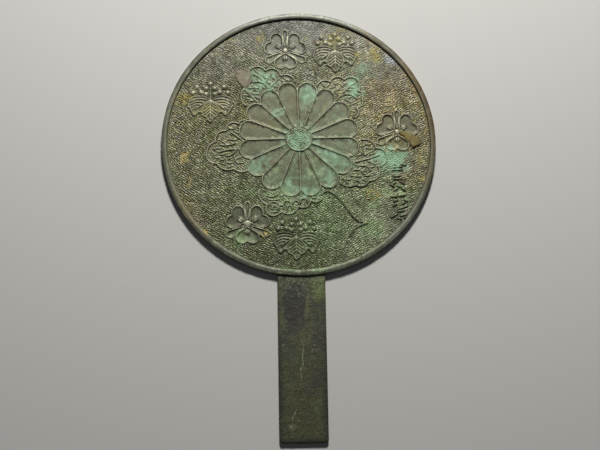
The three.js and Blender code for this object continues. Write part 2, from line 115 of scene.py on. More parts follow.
# The leaves under the petals. An edge is a chain of lobes: notch, peak, notch, peak, notch.
# A leaf is closed by running back to a point under the petals. Veins are arcs through three points,
# and dashes are short straight bars.
LEAVES = [
    {
        "edges": [
            [(-28, 41), (-22.3, 44), (-18, 41.5), (-13.8, 42.7), (-9.8, 38.6), (-6.2, 39.1), (-1.6, 34.6)],
        ],
        "under": [(-6, 25), (-20, 22), (-30.2, 30.8)],
        "veins": [
            [(-17, 31.1), (-20, 34.3), (-24.9, 34.8)],
            [(-20.4, 36.2), (-21.9, 37.9), (-24.9, 39.2)],
            [(-16.2, 31.4), (-13.4, 34.2), (-11.2, 36.8)],
            [(-17.2, 36.2), (-16.4, 38.0), (-14.6, 39.6)],
            [(-26.2, 36.3), (-27.8, 33.4), (-30.2, 30.8)],
            [(-18.9, 38.7), (-17.6, 37.0), (-16.4, 38.4)],
        ],
        "dashes": [
            [(-27.6, 31.5), (-22.0, 31.2)], [(-24.8, 30.5), (-22.8, 29.5)], [(-25.4, 27.7), (-21.8, 27.9)],
            [(-23.6, 25.9), (-21.8, 25.5)], [(-23.8, 41.8), (-22.4, 40.2)], [(-21.5, 37.7), (-20.5, 39.3)],
            [(-18.9, 34.7), (-17.7, 36.0)], [(-16.0, 31.0), (-15.0, 33.1)], [(-16.4, 34.5), (-14.3, 33.6)],
            [(-14.8, 38.3), (-13.5, 36.6)], [(-13.4, 32.5), (-11.8, 32.0)], [(-7.9, 37.1), (-6.0, 36.1)],
            [(-6.4, 35.9), (-4.4, 35.6)], [(-20.2, 33.0), (-19.4, 31.2)], [(-22.4, 33.6), (-21.4, 32.4)],
            [(-12.4, 39.6), (-11.4, 38.0)], [(-10.2, 36.4), (-8.8, 35.2)],
        ],
    },
    {
        "edges": [[(-30.2, 30.8), (-31.9, 25.5), (-29.2, 20.9)]],
        "under": [(-20, 18), (-22.4, 22.6)],
        "veins": [[(-30.2, 30.8), (-26.4, 26.8), (-22.4, 22.6)]],
        "dashes": [
            [(-29.8, 27.2), (-27.8, 26.8)], [(-28.8, 25.2), (-26.2, 24.4)], [(-28.2, 23.6), (-24.6, 24.0)],
        ],
    },
    {
        "edges": [
            [(10.4, 32.2), (15, 35.6), (18, 34.7), (22, 37.7), (26, 35.9), (33, 36.2), (33.6, 29.3)],
            [(33.6, 29.3), (36.1, 27.2), (35.6, 24.6), (35.9, 21.8), (33.2, 19.4)],
        ],
        "under": [(26, 18), (12, 24)],
        "veins": [
            [(21.6, 23.9), (26.0, 29.3), (31.4, 33.8)],
            [(23.7, 26.1), (28.6, 27.2), (32.7, 24.3)],
            [(26.7, 24.4), (28.0, 23.2), (29.2, 22.4)],
        ],
        "dashes": [
            [(18.6, 31.3), (20.3, 32.0)], [(20.4, 33.5), (22.4, 34.1)], [(21.8, 29.7), (23.8, 31.1)],
            [(23.9, 33.3), (25.1, 31.9)], [(25.9, 33.1), (27.5, 34.3)], [(26.9, 29.8), (30.0, 29.7)],
            [(27.2, 24.9), (29.6, 25.9)], [(29.1, 21.1), (32.3, 22.5)], [(13.7, 33.9), (15.5, 31.8)],
            [(15.6, 31.9), (17.2, 33.1)], [(22.0, 27.0), (21.0, 28.6)], [(19.4, 28.4), (20.9, 30.0)],
            [(28.4, 31.4), (31.4, 31.2)], [(31.4, 27.9), (33.2, 26.9)],
        ],
    },
    {
        "edges": [[(32.6, 19), (33.5, 16.5), (31, 13.6)]],
        "under": [(26, 12), (27, 19)],
        "veins": [],
        "dashes": [[(30.0, 17.6), (31.3, 16.9)], [(31.4, 16.0), (31.0, 14.9)]],
    },
    {
        "edges": [
            [(-28.8, 12), (-31, 12.4), (-33.4, 10.2), (-37.4, 10.9), (-40.4, 6.4), (-44.6, 4.9), (-46.2, 0)],
            [(-46.2, 0), (-49.6, -2.4), (-50.9, -6), (-50.2, -10.4), (-45.2, -12.5)],
            [(-45.2, -12.5), (-41.2, -16), (-35.9, -15.4), (-32.5, -17.4), (-28.6, -16.6)],
        ],
        "under": [(-20, -10), (-20, 8)],
        "veins": [
            [(-33.0, -4.4), (-39.8, -4.8), (-44.8, -6.1)],
            [(-37.6, 5.4), (-33.6, 2.5), (-30.4, -0.4)],
            [(-43.8, -1.7), (-39.8, -2.1), (-35.8, -1.2)],
            [(-39.8, -8.4), (-36.6, -6.9), (-34.6, -4.4)],
            [(-35.4, -8.0), (-35.1, -10.8), (-33.6, -12.6)],
        ],
        "dashes": [
            [(-39.0, 1.2), (-34.2, 1.0)], [(-42.6, 0.4), (-39.4, -1.8)], [(-44.8, 0.9), (-43.3, 1.4)],
            [(-38.7, 7.7), (-36.0, 7.3)], [(-36.7, 9.3), (-35.8, 7.9)], [(-35.4, 6.0), (-33.4, 4.8)],
            [(-47.4, -4.4), (-45.0, -3.6)], [(-45.0, -3.6), (-42.6, -3.8)], [(-47.8, -6.0), (-45.8, -7.6)],
            [(-46.6, -9.0), (-44.6, -9.3)], [(-42.9, -7.7), (-40.9, -7.0)], [(-35.4, -10.0), (-31.8, -8.8)],
            [(-43.3, -10.6), (-41.3, -10.2)], [(-39.4, -12.2), (-36.6, -12.3)], [(-39.4, -15.0), (-37.4, -14.0)],
            [(-33.0, -12.3), (-30.8, -12.2)], [(-35.0, -15.2), (-33.4, -14.0)], [(-31.8, 3.6), (-30.2, 5.0)],
            [(-33.6, 8.2), (-31.6, 7.4)], [(-38.6, -9.9), (-37.0, -9.2)], [(-42.4, -12.6), (-40.8, -13.2)],
        ],
    },
    {
        "edges": [
            [(34.8, 0.6), (39.6, -0.1), (42.6, -4.4), (48.4, -9.6), (43.4, -14.8), (43.3, -20.6), (37.9, -23)],
            [(37.9, -23), (34.4, -26.1), (30.4, -25.3), (26.4, -26.3), (22.4, -24.4)],
        ],
        "under": [(18, -16), (28, -2)],
        "veins": [
            [(30.4, -12.3), (37.9, -10.4), (44.3, -8.2)],
            [(30.6, -16.8), (33.2, -16.9), (35.2, -19.2)],
            [(28.2, -20), (30.8, -20.5), (33.4, -20.6)],
        ],
        "dashes": [
            [(34.3, -17.0), (36.7, -17.3)], [(33.5, -14.4), (36.1, -14.5)], [(23.8, -21.8), (26.3, -24.7)],
            [(25.4, -22.4), (27.7, -22.3)], [(34.7, -3.3), (36.4, -2.3)], [(37.2, -4.2), (38.7, -4.5)],
            [(39.9, -4.5), (41.5, -4.6)], [(32.6, -8.5), (34.0, -7.7)], [(35.8, -8.3), (37.7, -7.5)],
            [(39.4, -7.9), (41.1, -7.5)], [(39.3, -15.2), (40.8, -15.0)], [(35.8, -20.2), (38.6, -20.0)],
            [(37.1, -14.4), (39.3, -17.3)], [(39.8, -6.5), (41.1, -5.4)], [(34.0, -6.0), (35.3, -7.4)],
            [(29.6, -12.6), (32.1, -14.8)], [(37.9, -11.6), (41.4, -13.7)], [(37.0, -1.6), (38.4, -2.4)],
            [(30.2, -22.6), (32.4, -23.4)], [(35.2, -22.2), (36.6, -23.4)], [(40.6, -18.2), (41.6, -19.6)],
        ],
    },
    {
        "edges": [
            [(-22.3, -28.4), (-21.5, -33.2), (-18, -36), (-18, -40.4), (-15.6, -42.4)],
            [(-15.6, -42.4), (-12.6, -41.9), (-10.1, -40.1), (-5.4, -41.4), (-1.1, -37.1)],
            [(-1.1, -37.1), (3.4, -37.6), (5.7, -33.7), (9.6, -34.8), (12.9, -31)],
        ],
        "under": [(8, -20), (-14, -20)],
        "veins": [
            [(0.2, -35.2), (2.2, -32.6), (4.0, -35.2)],
            [(-4.0, -35.6), (-2.2, -33.8), (-0.7, -36.0)],
            [(-9.3, -36.1), (-7.3, -34.0), (-5.0, -36.9)],
            [(-7.1, -38.8), (-5.7, -36.7), (-4.5, -38.8)],
            [(-11.4, -38.5), (-10.2, -36.4), (-9.1, -38.5)],
            [(-17.4, -36.4), (-14.2, -34.5), (-11.2, -36.9)],
            [(-15.4, -38.9), (-14.0, -36.9), (-12.4, -38.9)],
            [(-17.9, -32.9), (-14.5, -33.5), (-11.2, -33.0)],
            [(-17.9, -31.2), (-15.2, -31.7), (-12.1, -30.2)],
        ],
        "dashes": [
            [(-10.7, -33.6), (-9.4, -35.6)], [(6.8, -32.4), (8.5, -32.5)], [(-20.2, -32.9), (-18.8, -31.7)],
            [(-10.6, -31.6), (-9.4, -30.4)], [(-14.6, -40.4), (-12.6, -40.0)],
        ],
    },
]

STEM = [
    [(11.8, -30.6), (14.8, -28.8), (18.8, -30.6), (22.8, -35), (27.4, -41.6), (31.6, -45.8), (36.2, -47)],
    [(36, -46.9), (31.4, -48.7), (28.5, -51.2), (26.3, -54.4)],
]

# Bars in each row, as offsets from the row's middle
WRITING = {
    "x": 54.4, "rows": (-16.5, -21.6, -27.2, -32.4, -38, -42.6),
    "bars": [
        [((-2.4, 1), (1.8, 1.5)), ((-3.4, -0.5), (2.1, -0.3)),
         ((1.8, 2.9), (4.1, 2.3)), ((-1.9, 2.8), (-0.6, 2.1))],
        [((-2.6, 0.9), (0.8, 1.3)), ((-2.9, -0.7), (1.3, -0.4)),
         ((0.9, -2), (2.9, -3.3)), ((-3.6, -3.7), (-2, -2.4))],
        [((-4.4, 1.8), (-2.8, 0.7)), ((-0.8, 1.3), (1, 0.5)),
         ((-2.3, -1.2), (-0.9, -0.1)), ((1.7, -0.5), (3.3, -1.4))],
        [((-4.6, 0.3), (-1.5, 0.1)), ((-0.4, 0.4), (3.1, 1)),
         ((2.7, -1.8), (4.6, -2.4)), ((-2.8, -2.3), (-1, -1.5))],
        [((-3.6, 0.6), (-1.9, 1.5)), ((-0.1, -1), (4.1, 0.5)),
         ((-1.1, -2.7), (2.1, -2.1)), ((1.2, 1.5), (2.6, 2.3))],
        [((-4.9, -1.2), (-1.6, 0.6)), ((0.3, -0.4), (3.6, 0.4)),
         ((2.4, -1.6), (4, -0.8)), ((-1.2, -1.8), (0.4, -2.3))],
    ],
}

# Plates of brown corrosion, each an outline and a height
CRUSTS = [
    ([(-34.8, 40.4), (-33.4, 42.2), (-31.2, 41.2), (-28.6, 43), (-26.8, 41.9), (-26.2, 38.2), (-27.2, 34.8),
      (-29.6, 31.2), (-31.9, 32.6), (-34.1, 35.8), (-35.2, 38.4)], 0.85),
    ([(56.2, 3.4), (56.6, 5), (58.6, 5), (62.3, 3.8), (64.7, 2.6), (66.5, 1), (67.3, -1), (67.1, -2.5),
      (65.2, -3.2), (63.1, -4.3), (61.9, -2.9), (60.4, -0.6), (58.1, 2)], 1.1),
]
CRUST_EDGE = 0.16
# Knobs on them: centre, half lengths, height and turn
CRUST_KNOBS = [((-33.5, 40.2), 1.5, 1.1, 1.35, 20), ((-28.9, 41.9), 1.3, 1.1, 1.3), ((-31.6, 36.2), 1.4, 1.1, 1.05)]


# ---- Fields of noise ----
def spectrum_noise(seed, weigh):
    """Seeded white noise whose frequencies are weighed, scaled to a deviation of 1."""
    white = np.random.default_rng(seed).standard_normal((CELLS, CELLS))
    field = np.fft.irfft2(np.fft.rfft2(white) * weigh(FREQUENCY_X, FREQUENCY_Y), s=(CELLS, CELLS))
    return (field - field.mean()) / field.std()


def pebble_noise(seed, direction):
    """Noise of grains one spacing apart, with most of its waves running in a direction, so they fall in rows."""

    def weigh(fx, fy):
        band = np.exp(-(((np.hypot(fx, fy) * PEBBLE_SPACING - 1) / 0.3) ** 2))
        across_rows = np.cos(np.arctan2(fy, fx) - math.radians(direction)) ** 2
        return band * (0.5 + 1.5 * across_rows**6)

    return spectrum_noise(seed, weigh)


def clouds(seed, size):
    """Soft noise with nothing finer than about the size."""
    return spectrum_noise(seed, lambda fx, fy: np.exp(-((fx * size) ** 2) - (fy * size) ** 2))


def blurred(chart, radius):
    """The chart smoothed by a bell curve of that radius in millimetres, through its frequencies."""
    bell = np.exp(-2 * (math.pi * radius) ** 2 * (FREQUENCY_X**2 + FREQUENCY_Y**2))
    return np.fft.irfft2(np.fft.rfft2(chart) * bell, s=chart.shape)


def smoothstep(low, high, value):
    """0 below low, 1 above high, and 3t^2 - 2t^3 between them."""
    t = np.clip((value - low) / (high - low), 0, 1)
    return t * t * (3 - 2 * t)


# ---- Curves in the field's plane ----
def arc_through(start, middle, end, spacing=0.4):
    """Points on the circle through three points, from the first over the second to the third."""
    a, b, c = (complex(*p) for p in (start, middle, end))
    w = (c - a) / (b - a)
    centre = a + (b - a) * (w - abs(w) ** 2) / (2j * w.imag)
    sweep = np.angle((c - centre) / (a - centre))
    to_middle = np.angle((b - centre) / (a - centre))
    if sweep * to_middle < 0 or abs(to_middle) > abs(sweep):
        sweep -= math.copysign(2 * math.pi, sweep)
    count = max(3, int(abs(sweep) * abs(a - centre) / spacing))
    points = centre + (a - centre) * np.exp(1j * sweep * np.linspace(0, 1, count))
    return np.column_stack([points.real, points.imag])


def smooth_through(points, steps=8):
    """A Catmull-Rom curve: between two points, a cubic whose slopes come from their neighbours."""
    p = np.array(points, float)
    padded = np.vstack([2 * p[0] - p[1], p, 2 * p[-1] - p[-2]])
    t = np.linspace(0, 1, steps, endpoint=False)[:, None]
    spans = []
    for before, start, end, after in zip(padded, padded[1:], padded[2:], padded[3:]):
        spans.append(
            0.5 * (2 * start + (end - before) * t + (2 * before - 5 * start + 4 * end - after) * t**2
                   + (3 * start - before - 3 * end + after) * t**3)
        )
    return np.vstack([*spans, p[-1:]])


def lobes(chain):
    """The arcs over the peaks of a chain of notch, peak, notch, peak, notch."""
    return [arc_through(*chain[i:i + 3]) for i in range(0, len(chain) - 2, 2)]


def placed(points, centre, turn=0, side=1):
    """Points of a motif's own plane, mirrored if side is -1, turned by some degrees and moved to its centre."""
    u, v = np.array(points, float).T * np.array([[1], [side]])
    angle = math.radians(turn)
    x = centre[0] + u * math.cos(angle) - v * math.sin(angle)
    y = centre[1] + u * math.sin(angle) + v * math.cos(angle)
    return np.column_stack([x, y])


# ---- Drawing on the chart ----
def window(low, high):
    """The slices of the chart between two corners."""
    first = np.clip(((np.asarray(low) - LOW) / PITCH).astype(int), 0, CELLS - 1)
    last = np.clip(((np.asarray(high) - LOW) / PITCH).astype(int) + 2, 1, CELLS)
    return slice(first[1], last[1]), slice(first[0], last[0])


def ridge(chart, path, size):
    """Along a path: height * (1 - q^2)^SHOULDER, where q is the distance to it over half the width, as a maximum."""
    width, height = size
    half = width / 2
    path = np.asarray(path, float)
    for a, b in zip(path[:-1], path[1:]):
        area = window(np.minimum(a, b) - half, np.maximum(a, b) + half)
        x, y = X[area] - a[0], Y[area] - a[1]
        dx, dy = b - a
        t = np.clip((x * dx + y * dy) / max(dx * dx + dy * dy, 1e-9), 0, 1)
        distance = np.hypot(x - t * dx, y - t * dy)
        profile = height * np.clip(1 - (distance / half) ** 2, 0, 1) ** SHOULDER
        np.maximum(chart[area], profile, out=chart[area])


def mound(chart, centre, long, short, height, turn=0, edge=SHOULDER):
    """A dome over an ellipse: height * (1 - q^2)^edge, where q is 1 on the ellipse."""
    reach = max(long, short)
    area = window(np.array(centre) - reach, np.array(centre) + reach)
    angle = math.radians(turn)
    x, y = X[area] - centre[0], Y[area] - centre[1]
    along = (x * math.cos(angle) + y * math.sin(angle)) / long
    across = (y * math.cos(angle) - x * math.sin(angle)) / short
    dome = height * np.clip(1 - along**2 - across**2, 0, 1) ** edge
    np.maximum(chart[area], dome, out=chart[area])


def fill(chart, outline):
    """1 inside a closed outline, by the even-odd rule."""
    outline = np.asarray(outline, float)
    area = window(outline.min(0), outline.max(0))
    x, y = X[area], Y[area]
    inside = np.zeros(x.shape, bool)
    for (ax, ay), (bx, by) in zip(outline, np.roll(outline, -1, axis=0)):
        if ay != by:
            inside ^= ((ay > y) != (by > y)) & (x < (bx - ax) * (y - ay) / (by - ay) + ax)
    np.maximum(chart[area], inside, out=chart[area])


# ---- The motifs: each draws its ridges on relief and clears the pebbled ground on smooth ----
def draw_flower(relief, smooth):
    """Equal petals: the angle is folded into one petal, which two straight dividers and a round tip bound."""
    half_angle = math.pi / FLOWER["petals"]
    tip_centre = FLOWER["tip"] / (1 + math.sin(half_angle))
    tip_radius = FLOWER["tip"] - tip_centre
    x, y = X - FLOWER["x"], Y - FLOWER["y"]
    radius = np.hypot(x, y)
    angle = np.arctan2(y, x) - math.radians(FLOWER["turn"])
    folded = np.mod(angle, 2 * half_angle) - half_angle
    along, across = radius * np.cos(folded), radius * np.sin(folded)
    to_tip = np.hypot(along - tip_centre, across) - tip_radius
    to_divider = radius * np.sin(half_angle - np.abs(folded))
    in_wedge = radius < tip_centre * math.cos(half_angle)
    distance = np.where(in_wedge, to_divider, np.abs(to_tip))
    width, height = PETAL
    bound = height * np.clip(1 - (2 * distance / width) ** 2, 0, 1) ** SHOULDER
    inside = in_wedge | (to_tip < 0)
    relief[inside] = 0
    bound[radius > FLOWER["tip"] + width] = 0
    np.maximum(relief, bound, out=relief)
    np.maximum(smooth, inside, out=smooth)
    crown = PETAL_CROWN * np.clip(1 - (across / (0.2 * along + 1)) ** 2, 0, 1) * smoothstep(8, 20, radius)
    relief += np.where(inside, crown * (1 - bound / height), 0)


def draw_boss(relief, smooth):
    """A raised round centre with a ridge round it."""
    radius = np.hypot(X - FLOWER["x"], Y - FLOWER["y"])
    plateau = BOSS_RISE * (1 - smoothstep(BOSS_RADIUS - 0.6, BOSS_RADIUS + 0.1, radius))
    ring = BOSS_RING * (1 - smoothstep(0.1, 1, np.abs(radius - BOSS_RADIUS + 0.5) / 0.5))
    relief[radius < BOSS_RADIUS + 0.1] = 0
    np.maximum(relief, np.maximum(plateau, ring), out=relief)
    smooth[radius < BOSS_MIDDLE] = 0


def draw_leaf(relief, smooth, leaf):
    """A leaf's lobed edge, its veins and its short bars."""
    arcs = [arc for edge in leaf["edges"] for arc in lobes(edge)]
    fill(smooth, np.vstack([*arcs, leaf["under"]]))
    for arc in arcs:
        ridge(relief, arc, OUTLINE)
    for vein in leaf["veins"]:
        ridge(relief, arc_through(*vein), VEIN)
    for dash in leaf["dashes"]:
        ridge(relief, dash, FINE)


def draw_mirrored(relief, smooth, half, centre, turn):
    """A closed shape from one edge and its mirror image, each edge a ridge."""
    edges = [placed(half, centre, turn, side) for side in (1, -1)]
    fill(smooth, np.vstack([edges[0], edges[1][::-1]]))
    for edge in edges:
        ridge(relief, edge, VEIN)


def draw_sorrel(relief, smooth, centre, ball):
    """Three heart-shaped leaves with a grooved drop at each foot, three swords between them, and a ball."""
    heart = [(9.9, 0), (11.3, 2.4), (10.6, 5.4), (8.2, 6.6), (5.8, 5.9), (3.8, 3.4), (2, 0.4)]
    sword = [(2.6, 0.4), (11.5, 2.15), (13.2, 0)]
    for turn, length, width in ((90, 0.98, 0.75), (210.5, 1, 1), (330, 1, 1)):
        draw_mirrored(relief, smooth, np.array(sword) * (length, width), centre, turn)
    for turn, size, drop_size in ((270, 0.94, (1.55, 1.5)), (148, 1, (1.95, 1.25)), (32, 1, (1.95, 1.25))):
        draw_mirrored(relief, smooth, size * smooth_through(heart), centre, turn)
        drop = np.zeros_like(relief)
        foot, middle, end = placed([(3, 0), (4.5, 0), (6.3, 0)], centre, turn)
        mound(drop, middle, *drop_size, 0.8, turn, edge=0.45)
        groove = np.zeros_like(relief)
        ridge(groove, [foot, end], GROOVE)
        np.maximum(relief, drop - np.minimum(groove, 0.6 * drop), out=relief)
    mound(relief, centre, ball, ball, 0.7, edge=0.2)


def draw_paulownia(relief, smooth, centre):
    """Three ribbed leaves, thin plates on the ground, below three stalks of buds, and a knob where all meet."""
    plate = np.zeros_like(smooth)
    edge = [
        (-1.3, -1.6), (-3.9, -3.6), (-4.8, -6.4), (-4.5, -8.7), (-3.3, -9.6), (-2.1, -10.2), (-1.3, -11.8),
        (0, -12.8),
    ]
    top = [(1.2, 1), (4, 2.1), (7.2, 2.4), (10.3, 1.7), (11.6, -0.6), (12.3, -3.6)]
    foot = [(12.3, -3.6), (10.7, -6), (9.5, -8.3), (8.2, -8.7), (6.8, -7), (4.9, -7.2)]
    midrib = [(0.9, -0.7), (4.2, -2.4), (8, -5.2)]
    ribs = [
        [(2.2, 0.1), (6, 0.9), (10.8, -0.7)], [(3.8, -1.3), (7.2, -0.8), (10.7, -2.4)],
        [(5.2, -2.7), (7.8, -2.4), (10.4, -4)], [(6.6, -4), (8.4, -4), (9.8, -5.5)],
    ]
    stalks = [
        ((0, 0.4), (0, 9.6), [(-2.4, 6.9), (2.4, 6.9), (-2.5, 3.6), (2.5, 3.6)]),
        ((-1.4, 2.6), (-7.5, 7.8), [(-9.7, 4.4), (-5.2, 4.7)]),
        ((1.4, 2.6), (7.5, 7.8), [(9.7, 4.4), (5.2, 4.7)]),
    ]

    def at(points, side=1):
        return placed(np.array(points, float) * (side, 1), centre)

    ridge(relief, at([(0, -1), (0, -11)]), FINE)
    for side in (1, -1):
        middle_edge, upper_edge, lower_edge, main_rib = (
            at(smooth_through(path), side) for path in (edge, top, foot, midrib)
        )
        fill(plate, np.vstack([middle_edge, [centre]]))
        fill(plate, np.vstack([upper_edge, lower_edge, [centre]]))
        for path, size in ((middle_edge, VEIN), (upper_edge, VEIN), (lower_edge, OUTLINE), (main_rib, VEIN)):
            ridge(relief, path, size)
        for path in ribs:
            ridge(relief, at(arc_through(*path), side), FINE)
        for start, reach in ((-1.8, 3), (-3.6, 3.4), (-5.4, 3.1), (-7.2, 2.5)):
            ridge(relief, at([(0, start), (reach, start - 0.9 * reach)], side), VEIN)
    relief += PAULOWNIA_PLATE * plate
    np.maximum(smooth, plate, out=smooth)
    for root, head, buds in stalks:
        ridge(relief, at([root, head]), FINE)
        for bud in (head, *buds):
            mound(relief, at([bud])[0], 1.55, 1.5, 1.1)
    mound(relief, at([(0, -1)])[0], 1.6, 1.5, 1.2, edge=0.25)


def draw_writing(relief):
    """Rows of short slanting bars, which spell nothing."""
    for middle, bars in zip(WRITING["rows"], WRITING["bars"]):
        for (ax, ay), (bx, by) in bars:
            ridge(relief, [(WRITING["x"] + ax, middle + ay), (WRITING["x"] + bx, middle + by)], STROKE)


def lay_crust():
    """Plates of corrosion with softened edges and slightly uneven tops, and knobs on them."""
    crust = np.zeros((CELLS, CELLS))
    for outline, height in CRUSTS:
        plate = np.zeros_like(crust)
        fill(plate, outline)
        lean = 1 + 0.05 * clouds(12, 4) + 0.015 * clouds(13, 0.8)
        crust = np.maximum(crust, height * lean * blurred(plate, CRUST_EDGE))
    for knob in CRUST_KNOBS:
        mound(crust, *knob)
    return crust


def open_ground(relief, smooth, crust):
    """1 where pebbles show: on the boss and between the forms, but not on ridges or crust or along the rim."""
    ground = (1 - blurred(smooth, 0.15)) * (1 - smoothstep(0.05, 0.35, relief)) * (1 - smoothstep(0, 0.3, crust))
    from_flower = np.hypot(X - FLOWER["x"], Y - FLOWER["y"])
    ground = np.maximum(ground, 1 - smoothstep(BOSS_MIDDLE - 0.7, BOSS_MIDDLE, from_flower))
    return ground * (1 - smoothstep(FOOT - 0.9, FOOT - 0.1, np.hypot(X, Y)))


def lay_pebbles():
    """The pebbles' shape, from -0.7 in the gaps to 1.3 on top, and their height in millimetres.

    Their rows turn from one direction at the left to another at the right, where wear has made them lower, as it
    has near the top.
    """
    right = smoothstep(-15, 35, X + 0.3 * Y)
    rows = pebble_noise(21, LEFT_ROWS) * np.sqrt(1 - right) + pebble_noise(24, RIGHT_ROWS) * np.sqrt(right)
    shape = 2 * smoothstep(-0.3, 1.7, rows) - 0.7
    wear = 0.05 * right + 0.07 * smoothstep(40, 65, Y)
    return shape, np.clip(0.26 - wear + 0.03 * clouds(22, 6), 0.13, 0.4)


def draw_back():
    """The chart of heights above the field, and the charts that the patina follows."""
    relief, smooth = np.zeros((CELLS, CELLS)), np.zeros((CELLS, CELLS))
    for leaf in LEAVES:
        draw_leaf(relief, smooth, leaf)
    smooth *= LEAF_CALM
    for path in STEM:
        ridge(relief, smooth_through(path), OUTLINE)
    draw_flower(relief, smooth)
    draw_boss(relief, smooth)
    for centre, ball in SORRELS:
        draw_sorrel(relief, smooth, centre, ball)
    mound(relief, *SWORD_KNOB)
    for centre in PAULOWNIAS:
        draw_paulownia(relief, smooth, centre)
    draw_writing(relief)
    wear = 0.94 + 0.1 * clouds(11, 14)
    relief = blurred(relief * wear, MELT)
    crust = lay_crust()
    ridge(relief, PETAL_SCRATCH, SCRATCH)
    ground = open_ground(relief, smooth, crust)
    pebbles, pebble_height = lay_pebbles()
    waviness = 0.035 * clouds(23, 9) + 0.008 * clouds(25, 1.5)
    swell = 0.06   # keeps the gaps between the pebbles above the plain field
    height = np.maximum(relief, crust) + ground * (pebbles * pebble_height + swell) + waviness
    height *= 1 - smoothstep(FOOT - 0.35, FOOT, np.hypot(X, Y))
    height = np.minimum(height, RIM_TOP - FIELD - 0.05)
    return {"height": height, "relief": relief, "ground": ground, "pebbles": ground * pebbles, "crust": crust}


def read(chart, x, y):
    """The chart's value at any points, between its four nearest cells."""
    u = np.clip((x - LOW) / PITCH, 0, CELLS - 1.001)
    v = np.clip((y - LOW) / PITCH, 0, CELLS - 1.001)
    i, j = u.astype(int), v.astype(int)
    s, t = u - i, v - j
    near = chart[j, i] * (1 - s) + chart[j, i + 1] * s
    far = chart[j + 1, i] * (1 - s) + chart[j + 1, i + 1] * s
    return near * (1 - t) + far * t


# ---- Skins: grids of points, in millimetres ----
def quads(grid):
    """The faces between neighbouring rows and columns of a grid of point numbers."""
    a, b, c, d = grid[:-1, :-1], grid[:-1, 1:], grid[1:, 1:], grid[1:, :-1]
    return np.stack([a.ravel(), b.ravel(), c.ravel(), d.ravel()], axis=1)


def disc_skin(charts, cells):
    """A square grid bent into a disc, then rings down over the rim and in under the plate.

    Each point (a, b) of the square goes to the radius max(|a|, |b|), at an angle that runs evenly along each
    side, so the grid's edge is a ring of 4 * cells points. The rings follow the rim's profile of radius and
    height. The rows under the plate close in one point.
    """
    side = np.linspace(-1, 1, cells + 1)
    b, a = np.meshgrid(side, side)
    wide = np.abs(a) >= np.abs(b)
    long = np.where(wide, a, b)
    ratio = np.divide(np.where(wide, b, a), long, out=np.zeros_like(a), where=long != 0)
    angle = np.where(wide, ratio, 2 - ratio) * math.pi / 4
    x, y = FOOT * long * np.cos(angle), FOOT * long * np.sin(angle)
    field = np.stack([x, y, FIELD + read(charts["height"], x, y)], axis=-1).reshape(-1, 3)
    numbers = np.arange((cells + 1) ** 2).reshape(cells + 1, cells + 1)
    edge = np.concatenate([numbers[-1, :-1], numbers[::-1, -1][:-1], numbers[0, ::-1][:-1], numbers[:, 0][:-1]])
    around = np.arctan2(field[edge, 1], field[edge, 0])

    profile = np.array(rim_profile())
    nicks = 0.5 * (rim_noise(31, around, 40) + rim_noise(32, around, 160))
    top = smoothstep(FIELD + 0.6, RIM_TOP, profile[:, 1])[:, None]
    outer = smoothstep(DISC_RADIUS - 1.4, DISC_RADIUS, profile[:, 0])[:, None]
    above_base = profile[:, 1:] > 0.2
    radius = profile[:, :1] - 0.01 - NICK_DEPTH * np.maximum(nicks, 0)[None, :] * np.maximum(top, outer) * above_base
    level = profile[:, 1:] - 0.01 * top - DENT_DEPTH * np.maximum(rim_noise(33, around, 60), 0)[None, :] * top
    rings = np.stack([radius * np.cos(around), radius * np.sin(around), level + 0 * around], axis=-1)
    points = np.vstack([field, rings.reshape(-1, 3), [[0, 0, 0]]])
    ring_numbers = len(field) + np.arange(rings.shape[0] * len(edge)).reshape(rings.shape[0], len(edge))
    rows = np.vstack([edge, ring_numbers])
    walls = quads(np.hstack([rows, rows[:, :1]])[:, ::-1])
    centre = np.full(len(edge), len(points) - 1)
    cap = np.column_stack([rows[-1], centre, np.roll(rows[-1], -1)])
    return points, [quads(numbers)[:, ::-1], walls, cap]


def rim_profile():
    """Radius and height from the foot of the inner wall over the top, down the outside and in under the plate."""
    lip, wall_top = DISC_RADIUS - RIM_WIDTH, RIM_TOP - 0.17
    quarter = np.linspace(0, math.pi / 2, 5)[1:]
    foot = [(FOOT + FOOT_ROUND * math.sin(a), FIELD + FOOT_ROUND * (1 - math.cos(a))) for a in quarter]
    wall = [
        (FOOT + FOOT_ROUND + (lip - FOOT - FOOT_ROUND) * s, FIELD + FOOT_ROUND + (wall_top - FIELD - FOOT_ROUND) * s)
        for s in (0.33, 0.67, 1)
    ]
    round_in = [(lip + LIP_ROUND * (1 - math.cos(a)), wall_top + LIP_ROUND * math.sin(a)) for a in quarter]
    crown = [(lip + 0.6, RIM_TOP - 0.01), (lip + 1.3, RIM_TOP), (DISC_RADIUS - 0.4, RIM_TOP - 0.04)]
    round_out = [
        (DISC_RADIUS - EDGE_ROUND * (1 - math.sin(a)), RIM_TOP - 0.05 - EDGE_ROUND * (1 - math.cos(a)))
        for a in quarter
    ]
    side = [(DISC_RADIUS, h) for h in (2.4, 1.8, 1.1, 0.5)]
    base = [(DISC_RADIUS - BASE_ROUND * (1 - math.cos(a)), BASE_ROUND * (1 - math.sin(a))) for a in quarter]
    under = [(r, 0) for r in (74.4, 72, 66, 56, 44, 30, 16, 6)]
    return foot + wall + round_in + crown + round_out + side + base + under


def rim_noise(seed, around, waves):
    """A sum of seeded sine waves round the disc, of up to so many waves, scaled to a deviation of about 1."""
    draws = np.random.default_rng(seed)
    counts = draws.integers(waves // 4, waves, 12)
    phases = draws.uniform(0, 2 * math.pi, 12)
    return np.sin(counts[:, None] * around[None, :] + phases[:, None]).sum(0) / math.sqrt(6)


def kept_in(distance, radius):
    """How far a corner of that radius keeps in from the straight edge, at a distance from its end."""
    return radius - np.sqrt(np.clip(radius**2 - np.clip(radius - distance, 0, None) ** 2, 0, None))


